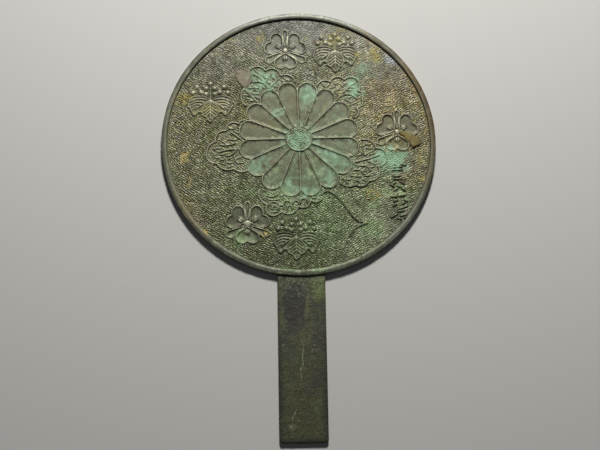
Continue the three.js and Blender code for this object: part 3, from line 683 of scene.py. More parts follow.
def handle_skin():
    """A rounded-rectangle section carried along the handle, drawn in round the corners of its end."""
    end = HANDLE_END
    close = np.concatenate([
        np.linspace(0, 1, 13)[:-1] ** 2 * HANDLE_CORNER, np.linspace(HANDLE_CORNER, end - HANDLE_ROOT, 150),
    ])
    plan, lift = kept_in(close, HANDLE_CORNER), kept_in(close, HANDLE_EDGE)
    half_width, half_height = HANDLE_WIDTH / 2, HANDLE_THICKNESS / 2
    turn = np.linspace(0, math.pi / 2, 6)
    corner_x = half_width - HANDLE_EDGE + HANDLE_EDGE * np.cos(turn)
    corner_z = half_height - HANDLE_EDGE + HANDLE_EDGE * np.sin(turn)
    flat = np.linspace(half_width - HANDLE_EDGE, HANDLE_EDGE - half_width, 42)[1:-1]
    section_x = np.concatenate([corner_x, flat, -corner_x[::-1], -corner_x, flat[::-1], corner_x[::-1]])
    section_z = np.concatenate([
        corner_z, np.full(flat.shape, half_height), corner_z[::-1],
        -corner_z, np.full(flat.shape, -half_height), -corner_z[::-1],
    ])
    x = section_x[None, :] * (1 - plan[:, None] / half_width)
    z = half_height + section_z[None, :] * (1 - lift[:, None] / half_height)
    y = -(end - close)[:, None] + 0 * x
    upper = smoothstep(half_height, HANDLE_THICKNESS, z)
    sway = 0.04 * np.sin(0.11 * y + 0.4) + 0.025 * np.sin(0.5 * x + 0.07 * y)
    scabs = smoothstep(-0.3, 0.3, read_repeated(clouds(51, 3.2), x, y))
    scabs = scabs + 0.5 * read_repeated(clouds(52, 1.1), x, y)
    z = z - upper * np.maximum(HANDLE_SLACK + sway - 0.03 * scabs, 0)
    points = np.stack([x, y, z], axis=-1)
    numbers = np.arange(points.shape[0] * points.shape[1]).reshape(points.shape[:2])
    walls = quads(np.hstack([numbers, numbers[:, :1]]))[:, ::-1]
    return points.reshape(-1, 3), [walls, numbers[:1], numbers[-1:, ::-1]]


def place_object(name, data):
    """A new object in the scene."""
    thing = bpy.data.objects.new(name, data)
    bpy.context.scene.collection.objects.link(thing)
    return thing


def mesh_from(name, points, face_groups):
    """A mesh object from points in millimetres and groups of faces with equal numbers of corners."""
    mesh = bpy.data.meshes.new(name)
    sizes = np.concatenate([np.full(len(group), group.shape[1]) for group in face_groups])
    corners = np.concatenate([group.ravel() for group in face_groups])
    mesh.vertices.add(len(points))
    mesh.vertices.foreach_set("co", (np.asarray(points) * MM).ravel())
    mesh.loops.add(len(corners))
    mesh.loops.foreach_set("vertex_index", corners)
    mesh.polygons.add(len(sizes))
    mesh.polygons.foreach_set("loop_start", np.concatenate([[0], np.cumsum(sizes)[:-1]]))
    mesh.update(calc_edges=True)
    mesh.validate()
    return place_object(name, mesh)


def apply_modifiers(piece):
    """Bakes the piece's modifiers into its mesh."""
    depsgraph = bpy.context.evaluated_depsgraph_get()
    finished = bpy.data.meshes.new_from_object(piece.evaluated_get(depsgraph))
    piece.modifiers.clear()
    piece.data = finished


def cast_mirror(charts):
    """Disc and handle joined into one skin, then thinned to fewer triangles where the skin is plain."""
    cells = 700
    disc = mesh_from("mirror_casting", *disc_skin(charts, cells))
    handle = mesh_from("handle_core", *handle_skin())
    joined = disc.modifiers.new("handle", "BOOLEAN")
    joined.operation = "UNION"
    joined.solver = "MANIFOLD"
    joined.object = handle
    apply_modifiers(disc)
    bpy.data.objects.remove(handle)
    disc.data.calc_loop_triangles()
    thinned = disc.modifiers.new("thinned", "DECIMATE")
    thinned.ratio = min(1, MOST_TRIANGLES / len(disc.data.loop_triangles))
    apply_modifiers(disc)
    return disc


# ---- Patina: where each colour lies on the back and the handle ----
# x, y, two half lengths, strength and turn in degrees
VERDIGRIS = [
    (5.6, 27, 3.6, 6.5, 1, -12), (-19, 35.5, 7, 7, 0.85, 0), (-26, 30, 5, 4, 0.55, 0),
    (-10.8, 16.3, 2.5, 2.5, 0.8, 0), (31.2, 31, 4, 6.5, 1, 0), (36, 42, 5, 5.5, 0.65, 0),
    (0, 1.5, 7.5, 7.5, 0.95, 0), (20, 13, 6, 4, 0.35, 25), (18, -9, 10, 3.6, 0.95, -28),
    (23, -14, 5, 4, 0.7, 0), (46.5, -10.5, 4, 6.5, 1.3, 0), (53, -11, 6, 6.5, 1.3, 0),
    (-22.5, -14, 7.5, 4, 0.7, 25), (-6.4, -26.5, 3.5, 4.5, 1, 0), (4, -28.5, 4.5, 3.5, 0.9, 0),
    (17, -21, 5, 5, 0.7, -50), (14, -8, 4, 4, 0.7, 0), (8, -30.5, 8, 2, 0.7, 0), (2, -20, 22, 10, 0.32, 0),
    (27, 0, 7, 6, 0.3, 0),
]
MOSS_BLOOM = [
    (-12, -31.5, 9, 5, 0.8, 0), (-28, -29, 5, 3.5, 0.75, 0), (-13.5, -17, 3, 5, 0.7, -30),
    (8, -16, 4, 7, 0.6, 15), (-10, -38.5, 10, 4, 0.7, 0), (14, -48, 12, 14, 0.7, 15), (13, -33, 8, 5, 0.8, 0),
    (38.3, -51, 5.5, 5, 1.4, 30), (39.2, -36.5, 3, 3.4, 1.25, 0), (-34, -54.5, 5, 4.5, 1.1, 0),
    (4, -60, 16, 6, 0.6, 0), (54, -29, 6.5, 4, 0.85, 0), (56, -36, 4, 4, 0.6, 0), (30, -62, 12, 5, 0.4, 0),
    (50, -17.5, 6, 4, 0.6, 0), (-8, -73.5, 1.5, 1.4, 1.2, 0), (4, -74, 1.4, 1.4, 1.2, 0),
    (8.4, -73.5, 1.2, 1.4, 1.2, 0), (-2, -74, 1, 1, 0.9, 0), (20, -72, 4, 1.5, 0.7, 0),
    (-40, -62.5, 5, 1.5, 0.6, 30), (44, -60.5, 5, 1.5, 0.6, -36),
]
GREEN_TINT = [(14, -38, 50, 36, 0.95, 0), (2, -2, 32, 28, 0.6, 0), (8, -70, 50, 10, 0.7, 0)]
OCHRE = [
    (-20.6, 60, 3, 2.6, 0.8, 0), (6, 60.5, 3.5, 3, 0.55, 0), (34.4, 50, 4, 2.6, 0.9, 0),
    (43.5, 50.5, 4.4, 3.2, 0.95, 0), (20.5, 59, 8, 3.5, 0.65, 0), (24, 65, 6, 3, 0.5, 0),
    (51.5, 35, 1.5, 1.5, 0.5, 0), (-63.5, 25, 4.5, 3.4, 0.85, 0), (-49, 19, 9, 4.5, 0.6, 0),
    (-57, 31, 3, 3, 0.5, 0), (-63.5, -9.4, 1.7, 1.7, 2.2, 0), (-42, -15, 3, 3, 0.4, 0),
    (-49.2, -51.8, 2, 1.2, 1.7, 0), (-19.2, -52.8, 1.8, 1.3, 1.6, 0), (40, -29.4, 3.6, 3.2, 0.85, 0),
    (67.8, -21.6, 1.3, 1.2, 1.7, 0), (-59.6, -22.8, 0.9, 0.9, 1.5, 0), (-49, -29, 1.2, 1, 0.8, 0),
    (56, -20.5, 4, 1.5, 0.5, 20), (67, -9, 3, 3, 0.5, 0), (-35, 60, 2, 1.2, 0.8, 30),
    (-47, 53, 1.6, 1.2, 0.6, 40), (40, 60.5, 2.6, 1.2, 0.6, -34), (53, -2, 9, 3.5, 0.45, 0),
]
BROWN = [
    (48, 27, 16, 13, 0.65, 0), (55, 1, 15, 7, 0.85, 0), (60, -16, 7, 12, 0.45, 0), (73.6, 12, 4, 16, 1, 0),
    (66, 35, 5, 14, 1.2, 28), (62, 42, 4, 14, 0.45, 40), (42, 61.5, 3, 7, 0.7, 56), (-31, 37, 5, 4, 0.35, 65),
    (-2, 17, 5, 9, 0.4, 0), (-24, 12, 10, 5, 0.35, -20), (-60, -42, 4, 14, 0.5, 35), (73, -18, 3, 12, 0.6, 0),
    (66, 22, 6, 8, 0.4, 0), (50, 16, 10, 5, 0.6, 30),
]
OLIVE = [
    (-52, 8, 28, 34, 0.9, 0), (-46, -28, 20, 18, 0.8, 0), (-34, 52, 16, 9, 0.45, 0), (30, 8, 22, 12, 0.3, 0),
    (36, -30, 14, 12, 0.4, 0), (40, 44, 12, 10, 0.4, 0),
]
# Where the patina is deeper
DEEP = [
    (-44, 38, 22, 20, 0.4, 0), (-38, -48, 28, 20, 0.35, 0), (-18, -62, 24, 10, 0.5, 0),
    (66, -10, 9, 20, 0.6, 0), (0, 70, 50, 12, 0.5, 0), (-49, 23, 10, 8, 0.5, 0), (-29, -46, 9, 8, 0.5, 0),
    (54, -36, 14, 18, 0.42, 0), (52, 38, 16, 16, 0.28, 0),
]
# Where it is paler
PALE = [
    (44, 43, 14, 12, 0.15, 0), (40, -48, 14, 14, 0.35, 0), (0, 1.5, 7.5, 7.5, 0.4, 0), (51, -14, 9, 8, 0.4, 0),
    (-52, -20, 20, 24, 0.15, 0), (-48, 44, 14, 12, 0.25, 0),
]
# The parts of the rim that are made darker and duller
DARKENED_RIM = [
    (14, 73, 30, 10, 0.4, -12), (52, 52, 20, 14, 0.95, -45), (70, 16, 8, 34, 1, 0), (-54, 50, 28, 12, 0.85, 45),
    (-75, 2, 5, 24, 0.4, 0), (0, -74, 44, 5, 0.6, 0), (70, 34, 10, 20, 1, 26), (38, -64, 14, 5, 0.7, 30),
    (-36, -64, 14, 5, 0.4, -30),
]
# Where the ridges get less of the pale colour that is partly wear and partly a painted highlight
LESS_PALE_RIDGES = [(WRITING["x"], -30, 9, 15, 0.65, 0), (28, -44, 20, 16, 0.8, 0), (0, -55, 28, 14, 0.35, 0)]
# The top and the upper left, where the metal is greyer; at the top this is partly a painted sheen of the light beyond
# the rim
GREY_AND_SHEEN = [
    (-5, 64, 45, 16, 0.85, 0), (-42, 46, 14, 12, 0.6, 0), (46, 42, 14, 12, 0.8, 0), (50, -46, 16, 12, 0.4, 40),
    (-52, 40, 12, 14, 0.5, 0), (-7, 52, 10, 10, 0.5, 0),
]

# ---- Tones, in linear light ----
BRONZE, WARM_BRONZE, GOLDEN_BRONZE = (0.236, 0.228, 0.166), (0.228, 0.218, 0.110), (0.240, 0.220, 0.086)
MAUVE_BRONZE, GREY_BRONZE_AND_SHEEN = (0.205, 0.190, 0.182), (0.238, 0.237, 0.220)
OLIVE_BRONZE, GREEN_BRONZE, RUST = (0.212, 0.206, 0.084), (0.178, 0.232, 0.104), (0.330, 0.226, 0.066)
DEEP_PATINA, PALE_PATINA = (0.060, 0.052, 0.032), (0.460, 0.440, 0.330)
GREY_CRUST, BROWN_CRUST = (0.244, 0.212, 0.150), (0.178, 0.126, 0.018)
RIM_METAL, BROWN_RIM, CRUMBS = (0.140, 0.150, 0.134), (0.130, 0.084, 0.025), (0.400, 0.470, 0.330)
SMOOTH_METAL = (0.060, 0.062, 0.042)
# The pale colour of ridge and bud tops: partly wear, partly a painted highlight of the light from beyond the rim
WORN_AND_HIGHLIT_METAL, WORN_AND_HIGHLIT_GROWTH = (0.480, 0.455, 0.330), (0.480, 0.500, 0.360)
PALE_VERDIGRIS, DEEP_VERDIGRIS = (0.380, 0.590, 0.410), (0.215, 0.390, 0.215)
PALE_MOSS, DEEP_MOSS = (0.370, 0.480, 0.270), (0.190, 0.300, 0.105)
OCHRE_DUST, PALE_DUST = (0.500, 0.425, 0.110), (0.640, 0.500, 0.220)
BLUE_STAIN, DARK_SPECK = (0.250, 0.310, 0.390), (0.05, 0.045, 0.03)
HANDLE_BRONZE, HANDLE_GREEN, HANDLE_SCABS = (0.056, 0.058, 0.040), (0.068, 0.076, 0.034), (0.105, 0.110, 0.052)
HANDLE_CRUMBS, HANDLE_SCRATCH = (0.250, 0.290, 0.160), (0.400, 0.410, 0.290)
HANDLE_PITS, HANDLE_GRIT = (0.022, 0.022, 0.014), (0.150, 0.160, 0.095)
FACE_BROWN, FACE_DARK = (0.300, 0.235, 0.130), (0.165, 0.140, 0.085)
FACE_STAINS, FACE_GREEN = (0.075, 0.065, 0.040), (0.190, 0.300, 0.205)
# Factors, by which a tone is multiplied
MOTTLE = (1.0, 0.93, 1.0), (0.88, 0.98, 0.88)
# PIT_SHADE and TOP_LIGHT paint shade into the pebbles' pits and light onto their tops
RIM_DARKENING, PIT_SHADE, TOP_LIGHT = (0.45, 0.43, 0.31), (0.22, 0.22, 0.22), (2.3, 2.3, 2.35)

# ---- Marks on the handle ----
# The darkest tone here is painted shade: dark bands along the handle's long edges and its end, and a spot at its top
# left corner under the rim
VIOLET, MOSS, KHAKI, HANDLE_EDGE_SHADE = (0.048, 0.046, 0.040), (0.090, 0.112, 0.044), (0.076, 0.080, 0.028), (0.026, 0.028, 0.018)
STRAW, LICHEN = (0.125, 0.125, 0.062), (0.140, 0.172, 0.062)
LICHEN_GREY, DARK_OVAL = (0.090, 0.106, 0.062), (0.040, 0.038, 0.033)
# x, y, two half lengths, turn in degrees, softness of the edge, strength and tone
HANDLE_STAINS_AND_SHADE = [
    (0, -143, 24, 13, 90, 0.8, 0.7, KHAKI), (0, -77, 14, 4, 0, 0.6, 0.5, LICHEN_GREY),
    (9.5, -82, 7, 4, 85, 0.6, 0.9, LICHEN), (-4, -90.5, 11, 5.6, 84, 0.05, 0.97, DARK_OVAL),
    (-2, -102, 6, 4, 60, 0.6, 0.6, VIOLET), (2.8, -92, 6.5, 1.1, 86, 0.5, 0.8, STRAW),
    (-11, -98.5, 3, 1.2, 90, 0.5, 0.7, MOSS), (9, -111, 8, 3.6, 92, 0.7, 0.6, VIOLET),
    (2, -108, 7, 3, 75, 0.7, 0.5, STRAW), (8, -131, 5, 3.6, 80, 0.5, 0.7, VIOLET),
    (3, -137, 4, 3, 0, 0.5, 0.5, VIOLET), (-7.7, -134, 2.6, 1.4, 60, 0.5, 0.7, MOSS),
    (7.6, -144.5, 3.4, 1.8, 60, 0.5, 0.8, MOSS), (-6, -155.5, 2.2, 1.4, 0, 0.6, 0.9, STRAW),
    (6.2, -157, 4, 3.6, 0, 0.5, 0.6, KHAKI), (-12.9, -138, 28, 2.4, 90, 0.8, 0.8, HANDLE_EDGE_SHADE),
    (12.9, -140, 28, 2.6, 90, 0.8, 0.8, HANDLE_EDGE_SHADE), (0, -163.9, 14, 2.4, 0, 0.6, 0.85, HANDLE_EDGE_SHADE),
    (-11, -76, 3, 2, 0, 0.6, 0.7, HANDLE_EDGE_SHADE),
]
# x, y, two half lengths and turn
HANDLE_SCRATCHES = [
    (0, -119.8, 5.4, 0.42, 88), (-0.9, -129.6, 4.6, 0.17, 86), (5, -115.8, 0.9, 0.4, 60),
    (6.6, -113, 0.9, 0.3, 20), (3.1, -114.6, 0.8, 0.25, 10), (-10.2, -113, 0.7, 0.3, 30),
    (-1.1, -125.4, 1.2, 0.4, 60), (-4.9, -149, 2.4, 0.28, 65), (-5.9, -151.5, 1.2, 0.3, 100),
    (-6.6, -155.4, 1, 0.5, 0), (-2.6, -152.4, 0.8, 0.3, 20),
]


DRIFT = 1.3          # how far noise shifts the patina's patches, in millimetres
FULL_RELIEF = 0.5    # the height above which a form counts as fully raised


def blots(x, y, table):
    """The greatest, at each point, of soft ellipses: strength * exp(-0.7 * q^2), where q is 1 on the ellipse."""
    found = np.zeros_like(x)
    for cx, cy, long, short, strength, turn in table:
        angle = math.radians(turn)
        along = ((x - cx) * math.cos(angle) + (y - cy) * math.sin(angle)) / long
        across = ((y - cy) * math.cos(angle) - (x - cx) * math.sin(angle)) / short
        found = np.maximum(found, strength * np.exp(-0.7 * (along**2 + across**2)))
    return found


def read_repeated(chart, x, y):
    """A noise chart's value at any points: the noise meets itself at its borders, so it repeats."""
    span = CELLS * PITCH
    return read(chart, np.mod(x - LOW, span - PITCH) + LOW, np.mod(y - LOW, span - PITCH) + LOW)


def stain(piece, charts):
    """Stores, at each point of the piece, how much of each finish lies there."""
    mesh = piece.data
    coordinates = np.empty(len(mesh.vertices) * 3, np.float32)
    mesh.vertices.foreach_get("co", coordinates)
    x, y, z = coordinates.reshape(-1, 3).astype(float).T / MM
    radius = np.hypot(x, y)
    on_field = (radius < FOOT) & (z > FIELD / 2)
    drift = [read_repeated(clouds(seed, 4), x, y) for seed in (41, 42)]
    x_drifted, y_drifted = x + DRIFT * drift[0], y + DRIFT * drift[1]
    crust = np.where(on_field, np.clip(read(charts["crust"], x, y) / FULL_RELIEF, 0, 1), 0)
    raised = np.where(on_field, np.clip(read(charts["relief"], x, y) / FULL_RELIEF, 0, 1), 0)
    finishes = {
        "raised": raised * (1 - blots(x, y, LESS_PALE_RIDGES)) * (1 - crust),
        "pebbles": np.where(on_field, read(charts["pebbles"], x, y), 0),
        "ground": np.where(on_field, np.clip(read(charts["ground"], x, y), 0, 1), 0),
        "crust": crust,
        "rim": smoothstep(FOOT + 0.2, FOOT + 1.4, radius) * (radius < DISC_RADIUS + 0.2),
        "handle": (radius > DISC_RADIUS + 0.05) * 1.0,
        "rim_darkened": blots(x, y, DARKENED_RIM),
    }
    for name, table in (
        ("verdigris", VERDIGRIS), ("moss_bloom", MOSS_BLOOM), ("green_tint", GREEN_TINT), ("ochre", OCHRE),
        ("brown", BROWN), ("olive", OLIVE), ("grey_and_sheen", GREY_AND_SHEEN), ("deep", DEEP), ("pale", PALE),
    ):
        finishes[name] = blots(x_drifted, y_drifted, table)
    for name, values in finishes.items():
        attribute = mesh.attributes.new(name, "FLOAT", "POINT")
        attribute.data.foreach_set("value", values.astype(np.float32))


class Finish:
    """A material's nodes, added one call at a time."""

    def __init__(self, name):
        self.material = bpy.data.materials.new(name)
        self.material.use_nodes = True
        self.nodes = self.material.node_tree.nodes
        self.links = self.material.node_tree.links
        self.shader = self.nodes["Principled BSDF"]
        self.place = self.nodes.new("ShaderNodeTexCoord").outputs["Object"]

    def set(self, socket, value):
        """Links another node's output to the socket, or gives it a constant."""
        if isinstance(value, bpy.types.NodeSocket):
            self.links.new(value, socket)
        elif hasattr(socket.default_value, "__len__") and len(socket.default_value) == 4 and len(value) == 3:
            socket.default_value = (*value, 1)
        else:
            socket.default_value = value

    def feed(self, node, inputs):
        """Sets several of a node's inputs."""
        for name, value in inputs.items():
            self.set(node.inputs[name], value)

    def mask(self, name):
        """One of the piece's own attributes."""
        node = self.nodes.new("ShaderNodeAttribute")
        node.attribute_name = name
        return node.outputs["Fac"]

    def mapped(self, where, location, turn, scale, kind="POINT"):
        """A place that is scaled, turned and moved, or with the kind TEXTURE the reverse of it."""
        node = self.nodes.new("ShaderNodeMapping")
        node.vector_type = kind
        rotation = (0, 0, math.radians(turn))
        self.feed(node, {"Vector": where, "Location": location, "Rotation": rotation, "Scale": scale})
        return node.outputs["Vector"]

    def noise(self, size, detail=3, roughness=0.55, distortion=0.0, offset=(0, 0, 0), stretch=(1, 1, 1), turn=0):
        """Noise whose lumps are about the size, in millimetres."""
        node = self.nodes.new("ShaderNodeTexNoise")
        self.feed(node, {
            "Vector": self.mapped(self.place, offset, turn, stretch), "Scale": 1 / (size * MM),
            "Detail": detail, "Roughness": roughness, "Distortion": distortion,
        })
        return node.outputs["Fac"]

    def wobbled(self, size, reach):
        """The place, shifted by up to half the reach, in lumps of the size."""
        lumps = self.noise(size, 3, 0.6, offset=(0.5, 0.9, 0)).node.outputs["Color"]
        shift = self.vector("SUBTRACT", lumps, (0.5, 0.5, 0.5))
        return self.vector("ADD", self.place, self.vector("MULTIPLY", shift, (reach * MM, reach * MM, 0)))

    def vector(self, operation, a, b=(0, 0, 0)):
        node = self.nodes.new("ShaderNodeVectorMath")
        node.operation = operation
        self.feed(node, {0: a, 1: b})
        return node.outputs["Value" if operation == "LENGTH" else "Vector"]

    def spot(self, where, x, y, long, short, turn=0, soft=0.25):
        """1 inside an ellipse about a point, given in millimetres, and 0 outside it, with a soft edge."""
        local = self.mapped(where, (x * MM, y * MM, 0), turn, (long * MM, short * MM, 1), "TEXTURE")
        return self.between(self.vector("LENGTH", local), 1 + soft, 1 - soft)

    def math(self, operation, a, b=0.0, clamp=False):
        node = self.nodes.new("ShaderNodeMath")
        node.operation = operation
        node.use_clamp = clamp
        self.feed(node, {0: a, 1: b})
        return node.outputs[0]

    def plus(self, a, b):
        return self.math("ADD", a, b)

    def times(self, a, b):
        return self.math("MULTIPLY", a, b)

    def greater(self, a, b):
        return self.math("MAXIMUM", a, b)

    def between(self, value, low, high, to_low=0.0, to_high=1.0):
        """The value mapped smoothly from low...high onto 0...1, or onto another range."""
        node = self.nodes.new("ShaderNodeMapRange")
        node.interpolation_type = "SMOOTHSTEP"
        self.feed(node, {
            "Value": value, "From Min": low, "From Max": high, "To Min": to_low, "To Max": to_high,
        })
        return node.outputs["Result"]

    def mix(self, share, a, b, blend="MIX"):
        node = self.nodes.new("ShaderNodeMix")
        node.data_type = "RGBA"
        node.blend_type = blend
        self.feed(node, {0: share, 6: a, 7: b})
        return node.outputs[2]

    def shade(self, share, colour, factor):
        """The colour, multiplied by a factor as far as the share says."""
        return self.mix(share, colour, factor, "MULTIPLY")

    def bump(self, height, distance, strength=1.0, normal=None):
        node = self.nodes.new("ShaderNodeBump")
        self.feed(node, {"Height": height, "Distance": distance, "Strength": strength})
        if normal is not None:
            self.set(node.inputs["Normal"], normal)
        return node.outputs["Normal"]


class BronzeFinish(Finish):
    """The casting's material, with the noises that its layers share."""

    def __init__(self):
        super().__init__("aged_bronze_patina")
        self.broad = self.noise(16, 4, 0.6)
        self.middle = self.noise(5.5, 4, 0.6, offset=(0.3, 0.1, 0))
        self.hue = self.noise(3.2, 4, 0.65, offset=(0.8, 0.3, 0))
        self.fine = self.noise(0.9, 4, 0.65, offset=(0.1, 0.7, 0))
        self.speck = self.noise(0.5, 2, 0.6, offset=(0.5, 0.2, 0))
        self.scabs = self.noise(3.4, 4, 0.6, distortion=0.3, offset=(0.9, 0.4, 0))
        self.grit = self.noise(1.0, 4, 0.7, offset=(0.4, 0.2, 0))
        self.grain = self.noise(0.8, 2, 0.5, offset=(0.3, 0.8, 0), stretch=(1, 0.75, 1), turn=-40)


def metal_tones(f):
    """The back's metal: olive brown, with broad and small changes of hue, deeper and paler by place, and greyer at
    the top, partly as a painted sheen.
    """
    colour = f.mix(f.between(f.broad, 0.38, 0.62), BRONZE, WARM_BRONZE)
    colour = f.mix(f.between(f.middle, 0.45, 0.62, 0, 0.75), colour, GOLDEN_BRONZE)
    colour = f.mix(f.between(f.hue, 0.5, 0.66, 0, 0.75), colour, MAUVE_BRONZE)
    # Greyer metal, at the top partly a painted sheen of the light
    colour = f.mix(f.mask("grey_and_sheen"), colour, GREY_BRONZE_AND_SHEEN)
    colour = f.mix(f.times(f.mask("olive"), f.between(f.hue, 0.3, 0.6, 0.95, 0.45)), colour, OLIVE_BRONZE)
    colour = f.mix(f.times(f.mask("green_tint"), f.between(f.middle, 0.35, 0.6, 0.7, 1.0)), colour, GREEN_BRONZE)
    colour = f.mix(f.times(f.mask("brown"), f.between(f.hue, 0.35, 0.6, 1.0, 0.45)), colour, RUST)
    mottled = f.between(f.noise(2.4, 4, 0.6, offset=(0.7, 0.2, 0)), 0.4, 0.6)
    colour = f.shade(1.0, colour, f.mix(mottled, *MOTTLE))
    colour = f.mix(f.times(f.mask("deep"), f.between(f.middle, 0.3, 0.7, 0.6, 1.0)), colour, DEEP_PATINA)
    colour = f.mix(f.times(f.mask("pale"), 0.6), colour, PALE_PATINA)
    crust_tone = f.mix(f.between(f.mask("brown"), 0.2, 0.6), GREY_CRUST, BROWN_CRUST)
    return f.mix(f.times(f.mask("crust"), f.between(f.fine, 0.35, 0.65, 0.9, 0.55)), colour, crust_tone)


def rim_tones(f, colour, rim, rim_darkened):
    """On the rim: rubbed metal, browner at the right, darker and duller in places, with pale crumbs where it is
    green.
    """
    rubbed = f.mix(f.mask("brown"), RIM_METAL, BROWN_RIM)
    colour = f.mix(f.times(rim, f.between(f.hue, 0.3, 0.7, 0.45, 0.9)), colour, rubbed)
    # The rim darkened in the given places
    colour = f.shade(rim_darkened, colour, RIM_DARKENING)
    crumbs = f.times(f.mask("green_tint"), f.between(f.speck, 0.46, 0.34, 0, 0.8))
    return f.mix(f.times(rim, crumbs), colour, CRUMBS)


def growths(f, colour):
    """Verdigris, moss-green bloom, ochre dust and a bluish stain, all with ragged edges.

    Also returns how much is verdigris, and how much of the metal is covered by any growth or by crust.
    """
    ragged = f.plus(f.between(f.fine, 0.3, 0.7, -0.14, 0.12), f.between(f.hue, 0.3, 0.7, 0.16, -0.24))
    patches = f.between(f.hue, 0.38, 0.66)
    verdigris = f.between(f.plus(f.mask("verdigris"), ragged), 0.0, 1.1, 0, 0.9)
    colour = f.mix(verdigris, colour, f.mix(patches, PALE_VERDIGRIS, DEEP_VERDIGRIS))
    moss = f.between(f.plus(f.mask("moss_bloom"), ragged), 0.0, 1.2, 0, 0.85)
    colour = f.mix(moss, colour, f.mix(patches, PALE_MOSS, DEEP_MOSS))
    dust = f.between(f.plus(f.mask("ochre"), f.between(f.fine, 0.3, 0.7, -0.35, 0.25)), 0.1, 1.1, 0, 0.85)
    colour = f.mix(dust, colour, f.mix(f.between(f.mask("ochre"), 0.9, 1.4), OCHRE_DUST, PALE_DUST))
    bluish = f.spot(f.wobbled(3, 2), 52, 47.5, 4.2, 1.8, -38, 0.7)
    colour = f.mix(f.times(bluish, 0.45), colour, BLUE_STAIN)
    covered = f.greater(f.greater(verdigris, f.times(moss, 0.5)), f.greater(dust, f.mask("crust")))
    return colour, verdigris, covered


def pebble_shades(f, colour, ground, verdigris):
    """Painted shade in the pebbles' pits and painted light on their tops, the same on a finer grain, fainter under
    verdigris and deep patina.
    """
    pebbles = f.mask("pebbles")
    shown = f.times(f.between(verdigris, 0, 1, 1.0, 0.35), f.between(f.mask("deep"), 0, 0.6, 1.0, 0.72))
    grained = f.times(ground, shown)
    for factor, (low, high, share), (fine_low, fine_high, fine_share) in (
        (PIT_SHADE, (0.05, -0.6, 0.6), (0.47, 0.35, 0.32)), (TOP_LIGHT, (0.1, 1.0, 0.55), (0.52, 0.68, 0.34)),
    ):
        colour = f.shade(f.times(f.between(pebbles, low, high, 0, share), shown), colour, factor)
        colour = f.shade(f.times(f.between(f.grain, fine_low, fine_high, 0, fine_share), grained), colour, factor)
    return colour


def handle_tones(f):
    """The handle's darker, greener skin: mottled, with stains, painted shade along its long edges, its end and under
    the rim, pale crumbs at its root, and scratches.
    """
    tint = f.noise(7, 4, 0.65, offset=(0.2, 0.6, 0))
    colour = f.mix(f.between(tint, 0.42, 0.58), HANDLE_BRONZE, HANDLE_GREEN)
    colour = f.mix(f.between(f.scabs, 0.5, 0.62, 0, 0.5), colour, HANDLE_SCABS)
    colour = f.mix(f.between(f.scabs, 0.46, 0.36, 0, 0.5), colour, VIOLET)
    stained = f.wobbled(3.5, 2.2)
    for x, y, long, short, turn, soft, strength, tone in HANDLE_STAINS_AND_SHADE:
        colour = f.mix(f.times(f.spot(stained, x, y, long, short, turn, soft), strength), colour, tone)
    root = f.spot(stained, 0, -78, 15, 8, 0, 0.7)
    colour = f.mix(f.times(root, f.between(f.grit, 0.5, 0.36, 0, 0.75)), colour, HANDLE_CRUMBS)
    scratched, broken = f.wobbled(4, 1), f.between(f.grit, 0.36, 0.52, 0.95, 0.15)
    for x, y, long, short, turn in HANDLE_SCRATCHES:
        colour = f.mix(f.times(f.spot(scratched, x, y, long, short, turn, 0.6), broken), colour, HANDLE_SCRATCH)
    colour = f.mix(f.between(f.grit, 0.5, 0.62, 0, 0.6), colour, HANDLE_PITS)
    return f.mix(f.between(f.grit, 0.45, 0.34, 0, 0.4), colour, HANDLE_GRIT)


def aged_bronze():
    """Olive-brown bronze with painted shade in its pits and painted light on pebble tops, paler where hands wear it
    and where a highlight is painted on the ridges, under verdigris and ochre dust.
    """
    f = BronzeFinish()
    ground, rim, handle = f.mask("ground"), f.mask("rim"), f.mask("handle")
    rim_darkened = f.times(rim, f.mask("rim_darkened"))
    plain = f.math("SUBTRACT", 1.0, f.plus(f.plus(ground, f.mask("crust")), rim), clamp=True)
    # Pale ridge and bud tops: partly wear and partly a painted highlight
    worn_and_highlit = f.times(f.between(f.mask("raised"), 0.55, 1.0), f.between(f.middle, 0.3, 0.65, 0.75, 0.45))

    colour = rim_tones(f, metal_tones(f), rim, rim_darkened)
    colour = f.mix(f.times(plain, 0.63), colour, SMOOTH_METAL)
    colour = f.mix(worn_and_highlit, colour, WORN_AND_HIGHLIT_METAL)
    colour, verdigris, covered = growths(f, colour)
    colour = f.mix(f.times(worn_and_highlit, 0.35), colour, WORN_AND_HIGHLIT_GROWTH)
    colour = pebble_shades(f, colour, ground, verdigris)
    colour = f.mix(handle, colour, handle_tones(f))
    colour = f.mix(f.between(f.speck, 0.62, 0.78, 0, 0.4), colour, DARK_SPECK)

    metal = f.greater(f.times(rim, f.between(rim_darkened, 0, 1, 0.43, 0.3)), f.between(rim, 0, 1, 0.42, 0.0))
    metal = f.times(metal, f.between(covered, 0, 1, 1.0, 0.1))
    dull = f.greater(f.times(handle, 1.3), f.times(f.mask("grey_and_sheen"), f.times(ground, 0.8)))
    metal = f.times(metal, f.between(dull, 0, 1, 1.0, 0.4))

    rough = f.between(f.plus(f.fine, f.times(covered, 0.5)), 0.3, 1.0, 0.36, 0.7)
    for share, more in ((dull, 0.12), (plain, 0.07), (rim_darkened, 0.06)):
        rough = f.plus(rough, f.times(share, more))

    pitted = f.times(handle, f.plus(f.between(f.scabs, 0.46, 0.56), f.grit))
    surface = None
    for height, depth, strength in (
        (pitted, 0.1, 0.9), (f.times(ground, f.grain), 0.16, 0.9), (f.fine, 0.12, 0.5), (f.speck, 0.05, 0.6),
    ):
        surface = f.bump(height, depth * MM, strength, surface)
    f.feed(f.shader, {"Base Color": colour, "Metallic": metal, "Roughness": rough, "Normal": surface})
    return f.material


